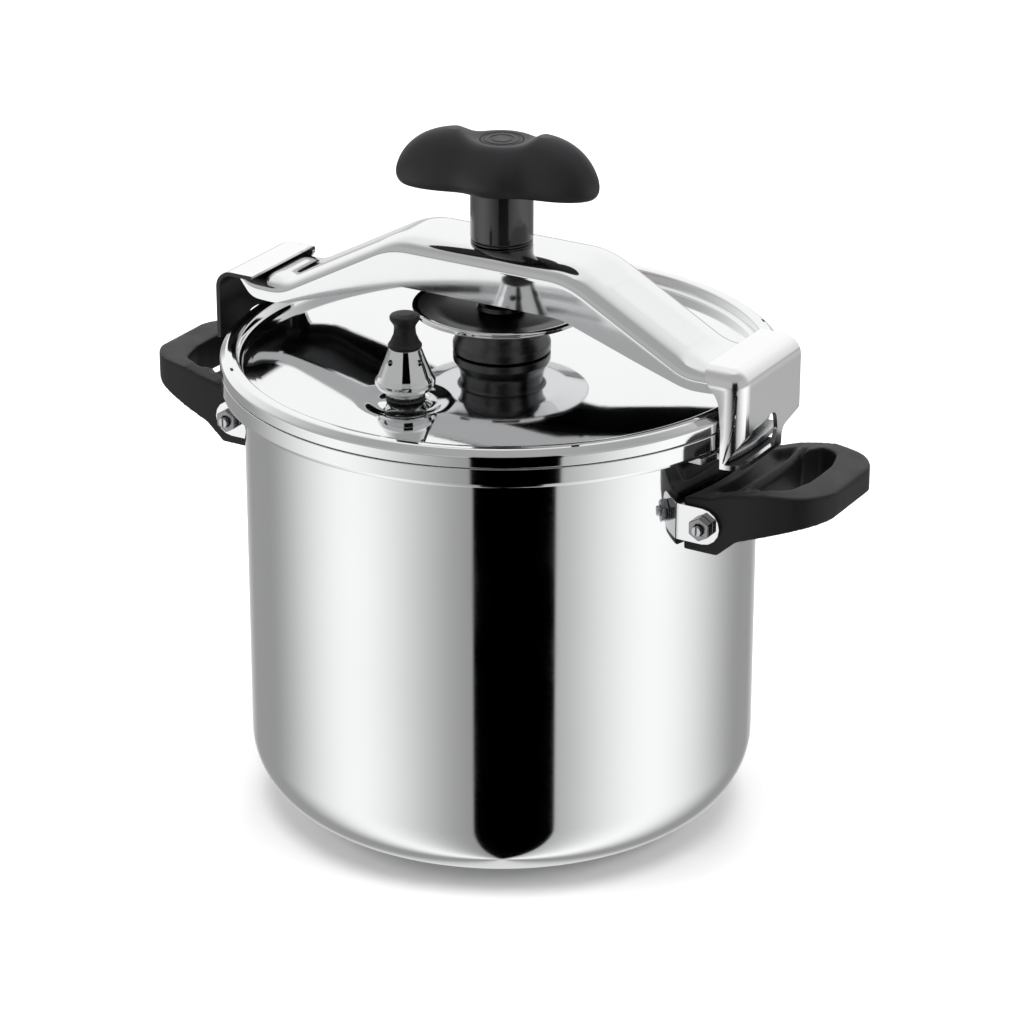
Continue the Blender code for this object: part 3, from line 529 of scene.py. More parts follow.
def make_pot():
    """The drawn pot: outside from the middle of its base to the rim, then down its inside."""
    rim, foot = high("pot_body"), low("pot_body").z
    collar = rim.x
    wall = collar - COLLAR_PROUD
    bend = wall - POT_CORNER
    shelf = low("lid_shell").z - SHELF_BELOW_LID
    profile = [(0.0, foot), (bend - 0.002, foot)]
    outer_steps, inner_steps = 22, 16
    for k in range(outer_steps + 1):
        angle = math.radians(-90.0 + 90.0 * k / outer_steps)
        profile.append((bend + POT_CORNER * math.cos(angle), foot + POT_CORNER * (1 + math.sin(angle))))
    upper = [
        (wall, foot + POT_CORNER + 0.004, 0.0),
        (wall, shelf - 0.0012, 0.0008),
        (wall + 0.0020, shelf + 0.0002, 0.0010),
        (collar - 0.0006, shelf + 0.0004, 0.0008),
        (collar, shelf + 0.0022, 0.0010),
        (collar, rim.z, 0.0005),
        (collar - COLLAR_WALL, rim.z, 0.0005),
        (collar - COLLAR_WALL, shelf + 0.0026, 0.0012),
        (wall + 0.0010, shelf + 0.0018, 0.0010),
        (wall - POT_WALL, shelf - 0.0010, 0.0010),
        (wall - POT_WALL, foot + POT_CORNER, 0.0),
    ]
    profile += rounded(upper)
    inner = POT_CORNER - POT_WALL
    for k in range(1, inner_steps + 1):
        angle = math.radians(-90.0 * k / inner_steps)
        profile.append((bend + inner * math.cos(angle), foot + POT_CORNER + inner * math.sin(angle)))
    profile.append((0.0, foot + POT_WALL))
    return spun("pot_shell", profile)


def make_base():
    """The bonded base disc, with two shallow rings turned in its underside."""
    edge, top = high("base_disc").x, high("base_disc").z
    corners = [
        (0.0, top, 0.0),
        (edge - 0.0016, top, 0.0006),
        (edge, top - 0.0014, 0.0006),
        (edge, 0.0009, 0.0006),
        (edge - 0.0010, 0.0, 0.0005),
        (0.070, 0.0, 0.0),
        (0.0690, 0.0005, 0.0003),
        (0.0674, 0.0005, 0.0003),
        (0.0664, 0.0, 0.0),
        (0.036, 0.0, 0.0),
        (0.0350, 0.0005, 0.0003),
        (0.0334, 0.0005, 0.0003),
        (0.0324, 0.0, 0.0),
        (0.0, 0.0, 0.0),
    ]
    return spun("base_plate", rounded(corners, 3))


def make_lid():
    """The pressed lid: domed panel, rolled rim, a dimple round the vent, valve holes and rim slots."""
    outer, bottom, top = high("lid_shell").x, low("lid_shell").z, high("lid_shell").z
    inner = outer - LID_RIM_WIDTH
    edge = bottom + 0.0013

    def panel(radius):
        return edge + PANEL_RISE * (1.0 - (radius / inner) ** 2)

    # The panel has many rows, so that the dimple round the vent is smooth
    radii = [PANEL_EDGE * k / PANEL_ROWS for k in range(PANEL_ROWS + 1)]
    skirt = [
        (PANEL_BEND, panel(PANEL_BEND), 0.0),
        (0.1318, edge + 0.0003, 0.0022),
        (inner, edge + 0.0016, 0.0014),
        (inner + 0.0001, top - 0.0002, 0.0018),
        (inner + 0.0030, top, 0.0012),
        (outer - 0.0034, top - 0.0001, 0.0022),
        (outer, top - 0.0030, 0.0024),
        (outer, bottom, 0.0004),
        (outer - LID_SHEET, bottom, 0.0004),
        (outer - LID_SHEET, top - 0.0036, 0.0016),
        (outer - 0.0040, top - LID_SHEET - 0.0002, 0.0014),
        (inner + 0.0030, top - LID_SHEET, 0.0010),
        (inner + LID_SHEET, top - 0.0024, 0.0010),
        (inner + LID_SHEET, edge + 0.0012, 0.0010),
        (0.1322, edge - LID_SHEET + 0.0004, 0.0014),
        (PANEL_BEND, panel(PANEL_BEND) - LID_SHEET, 0.0),
    ]
    rows = [(radius, panel(radius)) for radius in radii]
    rows += rounded(skirt, 7)
    rows += [(radius, panel(radius) - LID_SHEET) for radius in reversed(radii)]
    lid = spun("lid_pressing", rows)
    valve = middle("vent_pipe")
    for vertex in lid.data.vertices:
        away = math.hypot(vertex.co.x - valve.x, vertex.co.y - valve.y)
        ring = ease(away, 0.0098, 0.0135) * (1.0 - ease(away, 0.0150, DIMPLE_RADIUS))
        vertex.co.z -= DIMPLE_DEPTH * ring
    lid.modifiers.clear()
    cutters = []
    out_to_slot = Matrix.Translation((outer - RIM_SLOT_INSET, 0.0, top))
    for k in range(4):
        slot = block(f"slot_{k}", (-0.0007, -0.0021, -0.004), (0.0007, 0.0021, 0.004), 0.0006)
        slot.data.transform(Matrix.Rotation(math.radians(45.0 + 90.0 * k), 4, "Z") @ out_to_slot)
        cutters.append(slot)
    for node, radius in LID_HOLES:
        cutters.append(drill(f"{node}_hole", radius, 0.22, 0.26, middle(node).xy, HOLE_SIDES))
    return smooth(cut(lid, cutters), 34.0)


# ---------------------------------------------------------------- valves


def make_weight():
    """The hollow weight with its four steam holes."""
    centre = middle("weight_body").xy
    top, foot = high("weight_body").z, low("weight_body").z
    widest = (high("weight_body").x - low("weight_body").x) / 2
    corners = [
        (0.0060, top - 0.0002, 0.0),
        (0.0080, top, 0.0004),
        (0.0104, top - 0.0066, 0.0180),
        (0.0136, top - 0.0142, 0.0060),
        (widest, top - 0.0166, 0.0012),
        (widest, foot + 0.0034, 0.0012),
        (widest - 0.0014, foot + 0.0010, 0.0014),
        (0.0116, foot, 0.0008),
        (0.0102, foot, 0.0004),
        (0.0100, foot + 0.0012, 0.0008),
        (0.0112, foot + 0.0045, 0.0020),
        (0.0108, foot + 0.0085, 0.0020),
        (0.0058, top - 0.0004, 0.0),
    ]
    body = spun("weight_shell", rounded(corners, 8), centre, FINE_SIDES, closed=True)
    body.modifiers.clear()
    cutters = []
    for k in range(4):
        angle = math.radians(STEAM_HOLE_TURN + 90.0 * k)
        direction = Vector((math.cos(angle), math.sin(angle), 0.16)).normalized()
        hole = drill(f"steam_{k}", STEAM_HOLE_RADIUS, -0.006, 0.006, sides=24)
        turn = direction.to_track_quat("Z", "Y").to_matrix().to_4x4()
        place = Vector((*centre, top - STEAM_HOLE_DROP)) + direction * 0.0105
        hole.data.transform(Matrix.Translation(place) @ turn)
        cutters.append(hole)
    return smooth(cut(body, cutters), 34.0)


def make_weight_cap():
    """The black waisted cap on the weight."""
    top, foot = high("weight_cap").z, low("weight_cap").z
    seat = high("weight_body").z + HAIR
    corners = [
        (0.0, top, 0.0),
        (0.0040, top - 0.0001, 0.0030),
        (0.0075, top - 0.0012, 0.0016),
        (0.0074, top - 0.0034, 0.0016),
        (0.0052, top - 0.0066, 0.0040),
        (0.0056, top - 0.0110, 0.0050),
        (0.0074, top - 0.0150, 0.0030),
        (0.0084, seat + 0.0012, 0.0008),
        (0.0084, seat, 0.0003),
        (0.0056, seat, 0.0),
        (0.0056, foot, 0.0003),
        (0.0030, foot, 0.0),
        (0.0030, seat + 0.0012, 0.0),
        (0.0, seat + 0.0012, 0.0),
    ]
    return spun("weight_grip", rounded(corners, 8), middle("weight_cap").xy, SMALL_SIDES)


def make_safety_body():
    """The relief valve's housing, with its flange on the seal."""
    top, foot = high("safety_body").z, low("safety_body").z
    seat = low("safety_washer").z + 0.0011
    corners = [
        (0.0052, top, 0.0),
        (0.0074, top, 0.0005),
        (0.0074, seat + 0.0042, 0.0003),
        (0.0092, seat + 0.0040, 0.0006),
        (0.0092, seat + HAIR, 0.0004),
        (0.0060, seat + HAIR, 0.0),
        (0.0060, foot, 0.0004),
        (0.0026, foot, 0.0),
        (0.0026, foot + 0.0033, 0.0),
        (0.0052, foot + 0.0035, 0.0),
    ]
    return spun("safety_housing", rounded(corners, 4), middle("safety_body").xy, SMALL_SIDES, closed=True)


def make_safety_cap():
    """The relief valve's domed cap."""
    top, foot = high("safety_cap").z, low("safety_cap").z
    corners = [
        (0.0020, top, 0.0),
        (0.0030, top, 0.0004),
        (0.0050, top - 0.0002, 0.0010),
        (0.0078, top - 0.0016, 0.0010),
        (0.0078, top - 0.0030, 0.0003),
        (0.0049, top - 0.0030, 0.0),
        (0.0049, foot, 0.0002),
        (0.0020, foot, 0.0),
    ]
    return spun("safety_crown", rounded(corners, 5), middle("safety_cap").xy, SMALL_SIDES, closed=True)


def make_spring():
    """The relief valve's coil spring, in its cap."""
    centre, foot, top = middle("safety_spring"), low("safety_spring").z, high("safety_spring").z
    coil = high("safety_spring").x - centre.x - SPRING_WIRE
    steps, sides = 128, 10
    rings = []
    for step in range(steps + 1):
        angle = math.tau * SPRING_TURNS * step / steps
        height = foot + SPRING_WIRE + (top - foot - 2.0 * SPRING_WIRE) * step / steps
        ring = []
        for k in range(sides):
            around = math.tau * k / sides
            across = coil + SPRING_WIRE * math.cos(around)
            x, y = centre.x + across * math.cos(angle), centre.y + across * math.sin(angle)
            ring.append((x, y, height + SPRING_WIRE * math.sin(around)))
        rings.append(ring)
    return skin("spring_coil", rings, ends=True)


# ---------------------------------------------------------------- clamp


def beam_lines():
    """The beam's crest and its flange's lower edge, as lines of (distance from the middle, height)."""
    end, top, foot = high("beam").x, high("beam").z, low("beam").z
    crest = [
        (0.0, top, 0.0),
        (0.0510, top, 0.0420),
        (0.1180, top - 0.0364, 0.0300),
        (end + 0.004, top - 0.0364, 0.0),
    ]
    lower = [
        (0.0, top - 0.0255, 0.0),
        (0.0480, top - 0.0256, 0.0300),
        (0.0900, foot + 0.0090, 0.0500),
        (0.1190, foot - 0.0002, 0.0400),
        (0.1360, foot + 0.0006, 0.0100),
        (end, foot + 0.0092, 0.0),
    ]
    return rounded(crest, 16), rounded(lower, 16)


def beam_ring(top, foot, half, drop):
    """One section of the pressed channel, outside then inside, foot to foot, with broad soft shoulders."""
    sweep, sheet = drop * 1.75, BEAM_SHEET
    outer = [(half, foot)]
    inner = [(half - sheet, foot)]
    steps = 16
    for k in range(steps + 1):
        t = k / steps
        across, down = half - sweep * t * t, drop * (1 - t) ** 2
        outer.append((across, top - down))
        inner.append((across - sheet * (1 - t) ** 2, top - sheet * t * t - down))
    for share in (0.6, 0.3):
        outer.append(((half - sweep) * share, top))
    outer.append((0.0, top))
    inner.append((0.0, top - sheet))
    outside = outer + [(-y, z) for y, z in reversed(outer[:-1])]
    under = [(-y, z) for y, z in inner] + list(reversed(inner[:-1]))
    return outside + under


def make_beam():
    """The pressed beam, with a plain raised rectangle on its right slope and a hole for the bush."""
    crest, lower = beam_lines()
    end, half = high("beam").x, high("beam").y
    rings = []
    for k in range(BEAM_STATIONS + 1):
        x = -end + 2 * end * k / BEAM_STATIONS
        top, foot = along(crest, abs(x)), along(lower, abs(x))
        drop = min(BEAM_SHOULDER, (top - foot) * 0.7)
        rings.append([(x, y, z) for y, z in beam_ring(top, foot, half, drop)])
    beam = skin("beam_pressing", rings, ends=True, degrees=38.0)
    for vertex in beam.data.vertices:
        crest_height = along(crest, abs(vertex.co.x))
        if vertex.co.z < crest_height - 0.0012:
            continue
        reach_x = abs(vertex.co.x - OUTLINE_PLACE) - OUTLINE_HALF_LENGTH
        reach_y = abs(vertex.co.y) - OUTLINE_HALF_WIDTH
        outside = math.hypot(max(reach_x, 0.0), max(reach_y, 0.0)) + min(max(reach_x, reach_y), 0.0)
        line = math.exp(-((outside / 0.0008) ** 2))
        plateau = 1.0 - ease(outside, -0.0010, 0.0010)
        vertex.co.z += OUTLINE_HEIGHT * line + 0.00012 * plateau
    beam.modifiers.clear()
    cut(beam, [drill("beam_hole", BEAM_HOLE_RADIUS, 0.28, 0.32)])

    # Painted shade: faces under the beam and inside its channel get the near-black second material.
    def inside(centre, normal):
        if centre.z < along(lower, abs(centre.x)) + 0.0003 or abs(centre.x) > end - 0.0002:
            return False
        return normal.z < -0.3 or normal.y * centre.y < -0.3 * abs(centre.y)

    return smooth(paint_shade_inside(beam, inside), 38.0)


def make_claw():
    """The right claw: a strap over the beam's end with its hook below, shut at low y and open at high y."""
    lowest, highest = low("claw_right"), high("claw_right")
    sheet, radius = CLAW_SHEET, CLAW_ROUND
    outer, top, bottom = highest.x, highest.z, lowest.z
    shut, opened = lowest.y, highest.y
    claw = domed("claw_strap_right", (0.1140, shut, bottom), (outer, opened + 0.012, top), radius, 12)
    inside_low = (0.090, shut + sheet, bottom + sheet)
    inside_high = (outer - sheet, 0.080, top - sheet)
    inside = domed("inside", inside_low, inside_high, radius - sheet, 10)
    throat_line = [
        (0.100, 0.280, 0.0),
        (0.1296, 0.280, 0.0),
        (0.1300, 0.2706, 0.0060),
        (0.1330, 0.2640, 0.0400),
        (0.1396, 0.2570, 0.0400),
        (0.1412, 0.2400, 0.0200),
        (0.1412, 0.210, 0.0),
        (0.100, 0.210, 0.0),
    ]
    throat = prism("throat", rounded(throat_line, 8), -0.06, 0.06, "Y")
    far_line = [
        (0.0125, 0.20, 0.0),
        (0.0140, 0.2300, 0.0060),
        (0.0400, 0.2360, 0.0),
        (0.08, 0.2360, 0.0),
        (0.08, 0.20, 0.0),
    ]
    low_end = across_prism("low_end", rounded(far_line, 8), 0.10, 0.17)
    window_line = [
        (0.0060, bottom + sheet + 0.0003, 0.0),
        (shut + 0.0110, bottom + sheet + 0.0003, 0.0),
        (shut + 0.0120, bottom + 0.0188, 0.0040),
        (-0.0050, bottom + 0.0190, 0.0030),
        (-0.0030, bottom + 0.0202, 0.0030),
        (0.0070, bottom + 0.0202, 0.0060),
        (0.0090, bottom + 0.0100, 0.0060),
        (0.0060, bottom + sheet + 0.0003, 0.0),
    ]
    window = across_prism("window", rounded(window_line, 6)[:-1], outer - 0.0100, outer + 0.020)
    wedge_line = [
        (outer - 0.0088, bottom + sheet + 0.0003, 0.0),
        (outer - 0.0062, bottom + 0.0070, 0.0100),
        (outer - 0.0020, bottom + 0.0130, 0.0100),
        (outer + 0.0010, bottom + 0.0190, 0.0),
        (outer + 0.0200, bottom + 0.0190, 0.0),
        (outer + 0.0200, bottom + sheet + 0.0003, 0.0),
    ]
    wedge = prism("wedge", rounded(wedge_line, 8), shut - 0.01, shut + 0.0125, "Y")
    slit_line = [
        (outer - 0.0098, bottom + sheet + 0.0010),
        (outer - 0.0090, bottom + sheet + 0.0010),
        (outer - 0.0042, bottom + 0.0220),
        (outer - 0.0034, top - 0.0120),
        (outer - 0.0038, top - 0.0105),
        (outer - 0.0044, top - 0.0120),
        (outer - 0.0056, bottom + 0.0220),
    ]
    slit = prism("slit", slit_line, shut - 0.01, shut + 0.0062, "Y")
    far_end = block("far_end", (0.08, opened, 0.20), (0.17, opened + 0.03, 0.29))
    cut(claw, [inside, throat, low_end, window, wedge, slit, far_end])
    soften(claw, 0.0004, 34.0)

    # Painted shade: faces deep inside the strap get the near-black second material.
    def deep_in_shade(centre, _):
        gaps = (outer - centre.x, centre.y - shut, top - centre.z)
        return radius - math.hypot(*[max(radius - gap, 0.0) for gap in gaps]) > sheet * 0.6

    return paint_shade_inside(claw, deep_in_shade)


def make_collar():
    """The thin washer between the beam and the sleeve."""
    edge, bore = high("stem_collar").x - 0.0014, WASHER_BORE
    top, foot = high("stem_collar").z, low("stem_collar").z
    corners = [(bore, top, 0.0), (edge, top, 0.0004), (edge, foot, 0.0002), (bore, foot, 0.0)]
    return spun("stem_ring", rounded(corners, 6), sides=FINE_SIDES, closed=True)


def make_sleeve():
    """The glossy tube round the spindle."""
    edge = high("stem_sleeve").x
    top, foot = high("stem_sleeve").z, low("stem_sleeve").z
    corners = [
        (SLEEVE_BORE, top, 0.0),
        (edge, top, 0.0003),
        (edge, top - 0.0010, 0.0),
        (edge, foot + 0.0010, 0.0),
        (edge - 0.0006, foot, 0.0005),
        (SLEEVE_BORE, foot, 0.0),
    ]
    return spun("stem_tube", rounded(corners, 5), sides=FINE_SIDES, closed=True)


def make_dish():
    """The saucer under the spindle: bright rolled rim, with painted shade on the bowl and on the hub that
    rests on the lid.
    """
    edge, neck_top, foot = high("pressure_dish").x, high("pressure_dish").z, low("pressure_dish").z
    top, hub = neck_top - 0.0004, DISH_HUB
    corners = [
        (0.0, 0.2530, 0.0),
        (0.0078, 0.2530, 0.0),
        (0.0078, neck_top, 0.0003),
        (0.0118, neck_top, 0.0006),
        (0.0124, top - 0.0024, 0.0014),
        (0.0320, top - 0.0026, 0.0200),
        (edge - 0.0030, top - 0.0003, 0.0060),
        (edge - 0.0016, top, 0.0010),
        (edge, top - 0.0002, 0.0010),
        (edge, top - 0.0026, 0.0010),
        (edge - 0.0016, top - 0.0029, 0.0008),
        (0.0330, top - 0.0050, 0.0200),
        (hub - 0.0040, top - 0.0050, 0.0020),
        (hub - 0.0032, foot + 0.0100, 0.0060),
        (hub, foot + 0.0040, 0.0020),
        (hub, foot, 0.0008),
        (0.0, foot, 0.0),
    ]
    dish = spun("dish_pressing", rounded(corners, 8), sides=DISH_SIDES)

    # Painted shade: the hub and the bowl's upper faces get the near-black second material.
    def dark(centre, normal):
        across = math.hypot(centre.x, centre.y)
        return across < hub + 0.0010 or (normal.z > 0.0 and across < edge - 0.0026)

    return paint_shade_inside(dish, dark)


# ---------------------------------------------------------------- knob


def knob_lobes():
    """The three lobes: direction, length beyond the hub and spread, with the thumb lobe first."""
    thumb, offset = math.radians(THUMB_LOBE_TURN), math.radians(LONG_LOBE_OFFSET)
    return [(thumb, 0.0150, 26.0), (thumb + offset, 0.0285, 17.0), (thumb - offset, 0.0285, 17.0)]


def lobe_share(angle, direction, spread_degrees):
    """How much of a lobe is felt at this angle, 1 at its middle."""
    away = math.degrees(math.atan2(math.sin(angle - direction), math.cos(angle - direction)))
    return math.exp(-0.5 * (away / spread_degrees) ** 2)


def make_knob():
    """The lobed knob: recess for the cap, crown, rounded lobes and a hollow underside."""
    top, foot = high("knob").z, low("knob").z
    lobes = knob_lobes()
    recess = high("knob_cap").x + HAIR
    widest = foot + 0.0060
    crown = high("knob_cap").z - 0.0010
    angles = [math.tau * k / KNOB_SIDES for k in range(KNOB_SIDES)]

    def fixed(radius, height):
        return circle(radius, height, sides=KNOB_SIDES)

    rings = [fixed(0.0, crown - 0.0030), fixed(recess - 0.0002, crown - 0.0030)]
    rings += [fixed(recess, crown - 0.0028), fixed(recess, crown - 0.0004)]

    def surface(angle, share):
        reach = KNOB_HUB
        for direction, length, spread_degrees in lobes:
            reach += length * lobe_share(angle, direction, spread_degrees)
        long_share = max(lobe_share(angle, direction, LONG_LOBE_SPREAD) for direction, _, _ in lobes[1:])
        radius = recess + 0.0006 + (reach - recess - 0.0006) * share
        outward = (radius - 0.012) / max(reach - 0.012, 1e-6)
        lift = (top - crown + 0.0008) * long_share * ease(radius, 0.0115, 0.0240)
        sink = 0.0048 * (1.0 - long_share) * ease(radius, 0.0135, 0.0250)
        dome = max(1.0 - max(outward, 0.0) ** 3.0, 0.0) ** 0.60
        height = widest + (crown + lift - sink - widest) * dome
        return radius * math.cos(angle), radius * math.sin(angle), min(height, top)

    def under(angle, turn):
        x, y, _ = surface(angle, 1.0)
        inward = math.hypot(x, y) - 0.0042 * (1.0 - math.cos(turn))
        height = widest - (widest - foot) * math.sin(turn)
        return inward * math.cos(angle), inward * math.sin(angle), height

    above, below = 45, 12
    for k in range(above + 1):
        share = math.sin(math.pi / 2 * k / above)
        rings.append([surface(angle, share) for angle in angles])
    for k in range(1, below + 1):
        turn = math.pi / 2 * k / below
        rings.append([under(angle, turn) for angle in angles])
    rings += [fixed(0.0185, foot), fixed(0.0180, foot + 0.0004), fixed(0.0, foot + 0.0004)]
    return skin("knob_moulding", rings, degrees=40.0)


def make_knob_cap():
    """The round cap in the knob's top, with two plain grooves."""
    edge, top, foot = high("knob_cap").x, high("knob_cap").z, low("knob_cap").z
    corners = [
        (0.0, top - 0.0007, 0.0),
        (0.0050, top - 0.0008, 0.0006),
        (0.0056, top - 0.0012, 0.0002),
        (0.0061, top - 0.0012, 0.0002),
        (0.0066, top - 0.0008, 0.0004),
        (0.0088, top - 0.0009, 0.0004),
        (0.0091, top - 0.0013, 0.0002),
        (0.0094, top - 0.0013, 0.0002),
        (0.0097, top - 0.0010, 0.0004),
        (edge, top - 0.0013, 0.0005),
        (edge, foot, 0.0),
        (0.0, foot, 0.0),
    ]
    return spun("knob_badge", rounded(corners, 4), sides=FINE_SIDES)


# ---------------------------------------------------------------- handles


def make_grip():
    """The right grip: a D-shaped loop whose web is scooped on the pot's side of a curved ridge."""
    highest, bottom = high("handle_right_grip"), low("handle_right_grip").z
    half, tip, top = highest.y, highest.x, highest.z
    plan = [
        (0.1150, half, 0.0),
        (0.1660, half, 0.1000),
        (0.1890, half - 0.0070, 0.1000),
        (tip, half - 0.0200, 0.1000),
        (tip + 0.0012, 0.0, 0.0),
    ]
    upper = rounded(plan, 10)
    upper = [(min(x, tip), y) for x, y in upper]
    outline = upper + [(x, -y) for x, y in reversed(upper[:-1])]
    grip = prism("grip_moulding_right", outline, bottom - 0.02, top + 0.02)
    side_line = [
        (0.1200, bottom, 0.0),
        (0.1455, bottom, 0.0016),
        (0.1560, 0.1890, 0.0100),
        (0.1850, 0.1990, 0.0200),
        (tip - 0.0005, 0.2030, 0.0030),
        (tip + 0.0010, top, 0.0030),
        (0.1700, top - 0.0003, 0.0100),
        (0.1500, 0.2120, 0.0100),
        (0.1400, 0.2085, 0.0100),
        (0.1200, 0.2065, 0.0),
    ]
    side = prism("side", rounded(side_line, 8), -0.06, 0.06, "Y")
    cut(grip, [side], "INTERSECT")
    finger_line = []
    for k in range(13):
        angle = math.radians(-9.4 + 18.8 * k / 12)
        finger_line.append((0.1600 * math.cos(angle), 0.1600 * math.sin(angle)))
    far = [
        (0.1580, 0.0270, 0.0),
        (0.1660, 0.0320, 0.0040),
        (0.1770, 0.0270, 0.0090),
        (0.1812, 0.0120, 0.0150),
        (0.1816, 0.0, 0.0),
    ]
    arc = rounded(far, 8)[1:]
    finger_line += arc + [(x, -y) for x, y in reversed(arc[:-1])]
    finger = prism("finger", finger_line, 0.16, 0.24)
    wall = drill("wall", POT_SIDE_RADIUS, 0.26, 0.15, sides=256)
    hole = drill("bore", BOLT_BORE, -0.06, 0.06, sides=32)
    bolt = middle("handle_right_bolt")
    lying = Matrix.Rotation(math.radians(90.0), 4, "X")
    hole.data.transform(Matrix.Translation((bolt.x, 0.0, bolt.z)) @ lying)
    cut(grip, [finger, wall])
    remesh = grip.modifiers.new("remesh", "REMESH")
    remesh.mode = "VOXEL"
    remesh.voxel_size = GRIP_VOXEL
    even = grip.modifiers.new("even", "SMOOTH")
    even.factor = 0.5
    even.iterations = 7
    bake(grip)
    for vertex in grip.data.vertices:
        x, y, z = vertex.co
        radius = math.hypot(x, y)
        if z < GRIP_SHOULDER:
            continue
        upper_face = ease(z, GRIP_SHOULDER, GRIP_SHOULDER + 0.0050)
        inside = 1.0 - ease(abs(y), 0.0250, 0.0335)
        scoop = ease(radius, 0.1400, 0.1480) * (1.0 - ease(radius, 0.1535, 0.1575))
        ridge = math.exp(-(((radius - 0.1568) / 0.0011) ** 2)) * (1.0 - ease(abs(y), 0.0285, 0.0320))
        slope = ease(radius, 0.1572, 0.1606) * (1.0 - ease(radius, 0.1606, 0.1630))
        vertex.co.z -= upper_face * (0.0042 * inside * scoop + 0.0030 * inside * slope)
        vertex.co.z += upper_face * 0.0004 * ridge
    cut(grip, [hole])
    return smooth(grip, 60.0)


# ---------------------------------------------------------------- studio


def make_world():
    """A plain white studio: dark below, with one narrow black card and two soft white sides."""
    world = bpy.data.worlds.new("studio")
    bpy.context.scene.world = world
    world.use_nodes = True
    tree = world.node_tree
    tree.nodes.clear()
    turn = math.radians(CAMERA_AZIMUTH)
    sight = tree.nodes.new("ShaderNodeTexCoord").outputs["Generated"]

    def share_of(direction):
        product = wire(tree, "ShaderNodeVectorMath", {"operation": "DOT_PRODUCT"}, i0=sight, i1=direction)
        return product.outputs["Value"]

    def degrees(angle):
        return maths(tree, "MULTIPLY", angle, 180.0 / math.pi)

    def soft(value, start, end, first, last):
        return spread(tree, value, start, end, first, last, "SMOOTHSTEP")

    def away(centre):
        return maths(tree, "ABSOLUTE", maths(tree, "SUBTRACT", azimuth, centre))

    def box(place, width, strength):
        return soft(away(place), width, 0.0, 0.0, strength)

    front = share_of((math.sin(turn), -math.cos(turn), 0.0))
    right = share_of((math.cos(turn), math.sin(turn), 0.0))
    up = wire(tree, "ShaderNodeSeparateXYZ", i0=sight).outputs[2]
    azimuth = degrees(maths(tree, "ARCTAN2", right, front))
    elevation = degrees(maths(tree, "ARCSINE", up))

    boxes = maths(tree, "ADD", box(*RIGHT_BOX), box(*LEFT_BOX))
    lower = maths(tree, "ADD", boxes, LOWER_LIGHT)
    lower = maths(tree, "ADD", lower, soft(away(0.0), 150.0, 180.0, 0.0, 0.45))
    card = soft(away(CARD_PLACE), *CARD_EDGE, 0.0, 1.0)
    lower = maths(tree, "MULTIPLY", lower, card)
    high_card = maths(tree, "MAXIMUM", soft(elevation, *CARD_TOP, 0.0, 1.0), card)
    upper = soft(away(0.0), 85.0, 150.0, 0.48, 1.06)
    overhead = soft(elevation, 26.0, 50.0, 1.0, 0.86)
    upper = maths(tree, "MULTIPLY", maths(tree, "MULTIPLY", upper, overhead), high_card)
    horizon = soft(elevation, -3.0, 4.0, 0.0, 1.0)
    around = wire(tree, "ShaderNodeMix", {"data_type": "FLOAT"}, i0=horizon, i2=lower, i3=upper).outputs[0]
    from_band = maths(tree, "ABSOLUTE", maths(tree, "SUBTRACT", elevation, BAND_HEIGHT))
    around = maths(tree, "MULTIPLY", around, soft(from_band, *BAND_EDGE, BAND_LIGHT, 1.0))
    plain = wire(tree, "ShaderNodeBackground", Color=(1.0, 1.0, 1.0, 1.0), Strength=1.0)
    lit = wire(tree, "ShaderNodeBackground", Color=(1.0, 1.0, 1.0, 1.0), Strength=around)
    seen = tree.nodes.new("ShaderNodeLightPath").outputs["Is Camera Ray"]
    mixed = wire(tree, "ShaderNodeMixShader", i0=seen, i1=lit.outputs[0], i2=plain.outputs[0])
    out = tree.nodes.new("ShaderNodeOutputWorld")
    tree.links.new(mixed.outputs[0], out.inputs[0])


def make_light(name, place, aim, size, power):
    """A round soft light that isn't seen in the steel."""
    data = bpy.data.lights.new(name, "AREA")
    data.shape = "DISK"
    data.size = size
    data.energy = power
    obj = bpy.data.objects.new(name, data)
    bpy.context.scene.collection.objects.link(obj)
    obj.location = place
    obj.rotation_euler = (Vector(aim) - Vector(place)).to_track_quat("-Z", "Y").to_euler()
    obj.visible_glossy = False


def make_stage():
    """The pale floor."""
    bpy.ops.mesh.primitive_grid_add(x_subdivisions=8, y_subdivisions=8, size=14.0, location=(0.0, 0.0, 0.0))
    floor = bpy.context.object
    floor.name = "floor"
    material, tree, shader = node_tree("floor_paper")
    paper = noise(tree, object_point(tree), EVEN, 3.0, 3.0, 0.5)
    tint = blended(tree, paper, shade((0.93, 0.93, 0.93)), shade((0.95, 0.95, 0.95)))
    tree.links.new(tint, shader.inputs["Base Color"])
    shader.inputs["Roughness"].default_value = 0.9
    shader.inputs["Specular IOR Level"].default_value = 0.1
    floor.data.materials.append(material)
    floor.visible_glossy = False


def make_camera():
    """The camera at the photograph's viewing angle."""
    data = bpy.data.cameras.new("camera")
    data.lens = CAMERA_LENS
    data.sensor_width = 36.0
    data.shift_x, data.shift_y = CAMERA_SHIFT
    data.clip_end = 50.0
    camera = bpy.data.objects.new("camera", data)
    bpy.context.scene.collection.objects.link(camera)
    turn, tilt = math.radians(CAMERA_AZIMUTH), math.radians(CAMERA_ELEVATION)
    back = Vector((math.sin(turn) * math.cos(tilt), -math.cos(turn) * math.cos(tilt), math.sin(tilt)))
    camera.location = Vector((0.0, 0.0, CAMERA_TARGET)) + back * CAMERA_DISTANCE
    camera.rotation_euler = (-back).to_track_quat("-Z", "Y").to_euler()
    bpy.context.scene.camera = camera


# ---------------------------------------------------------------- the whole object

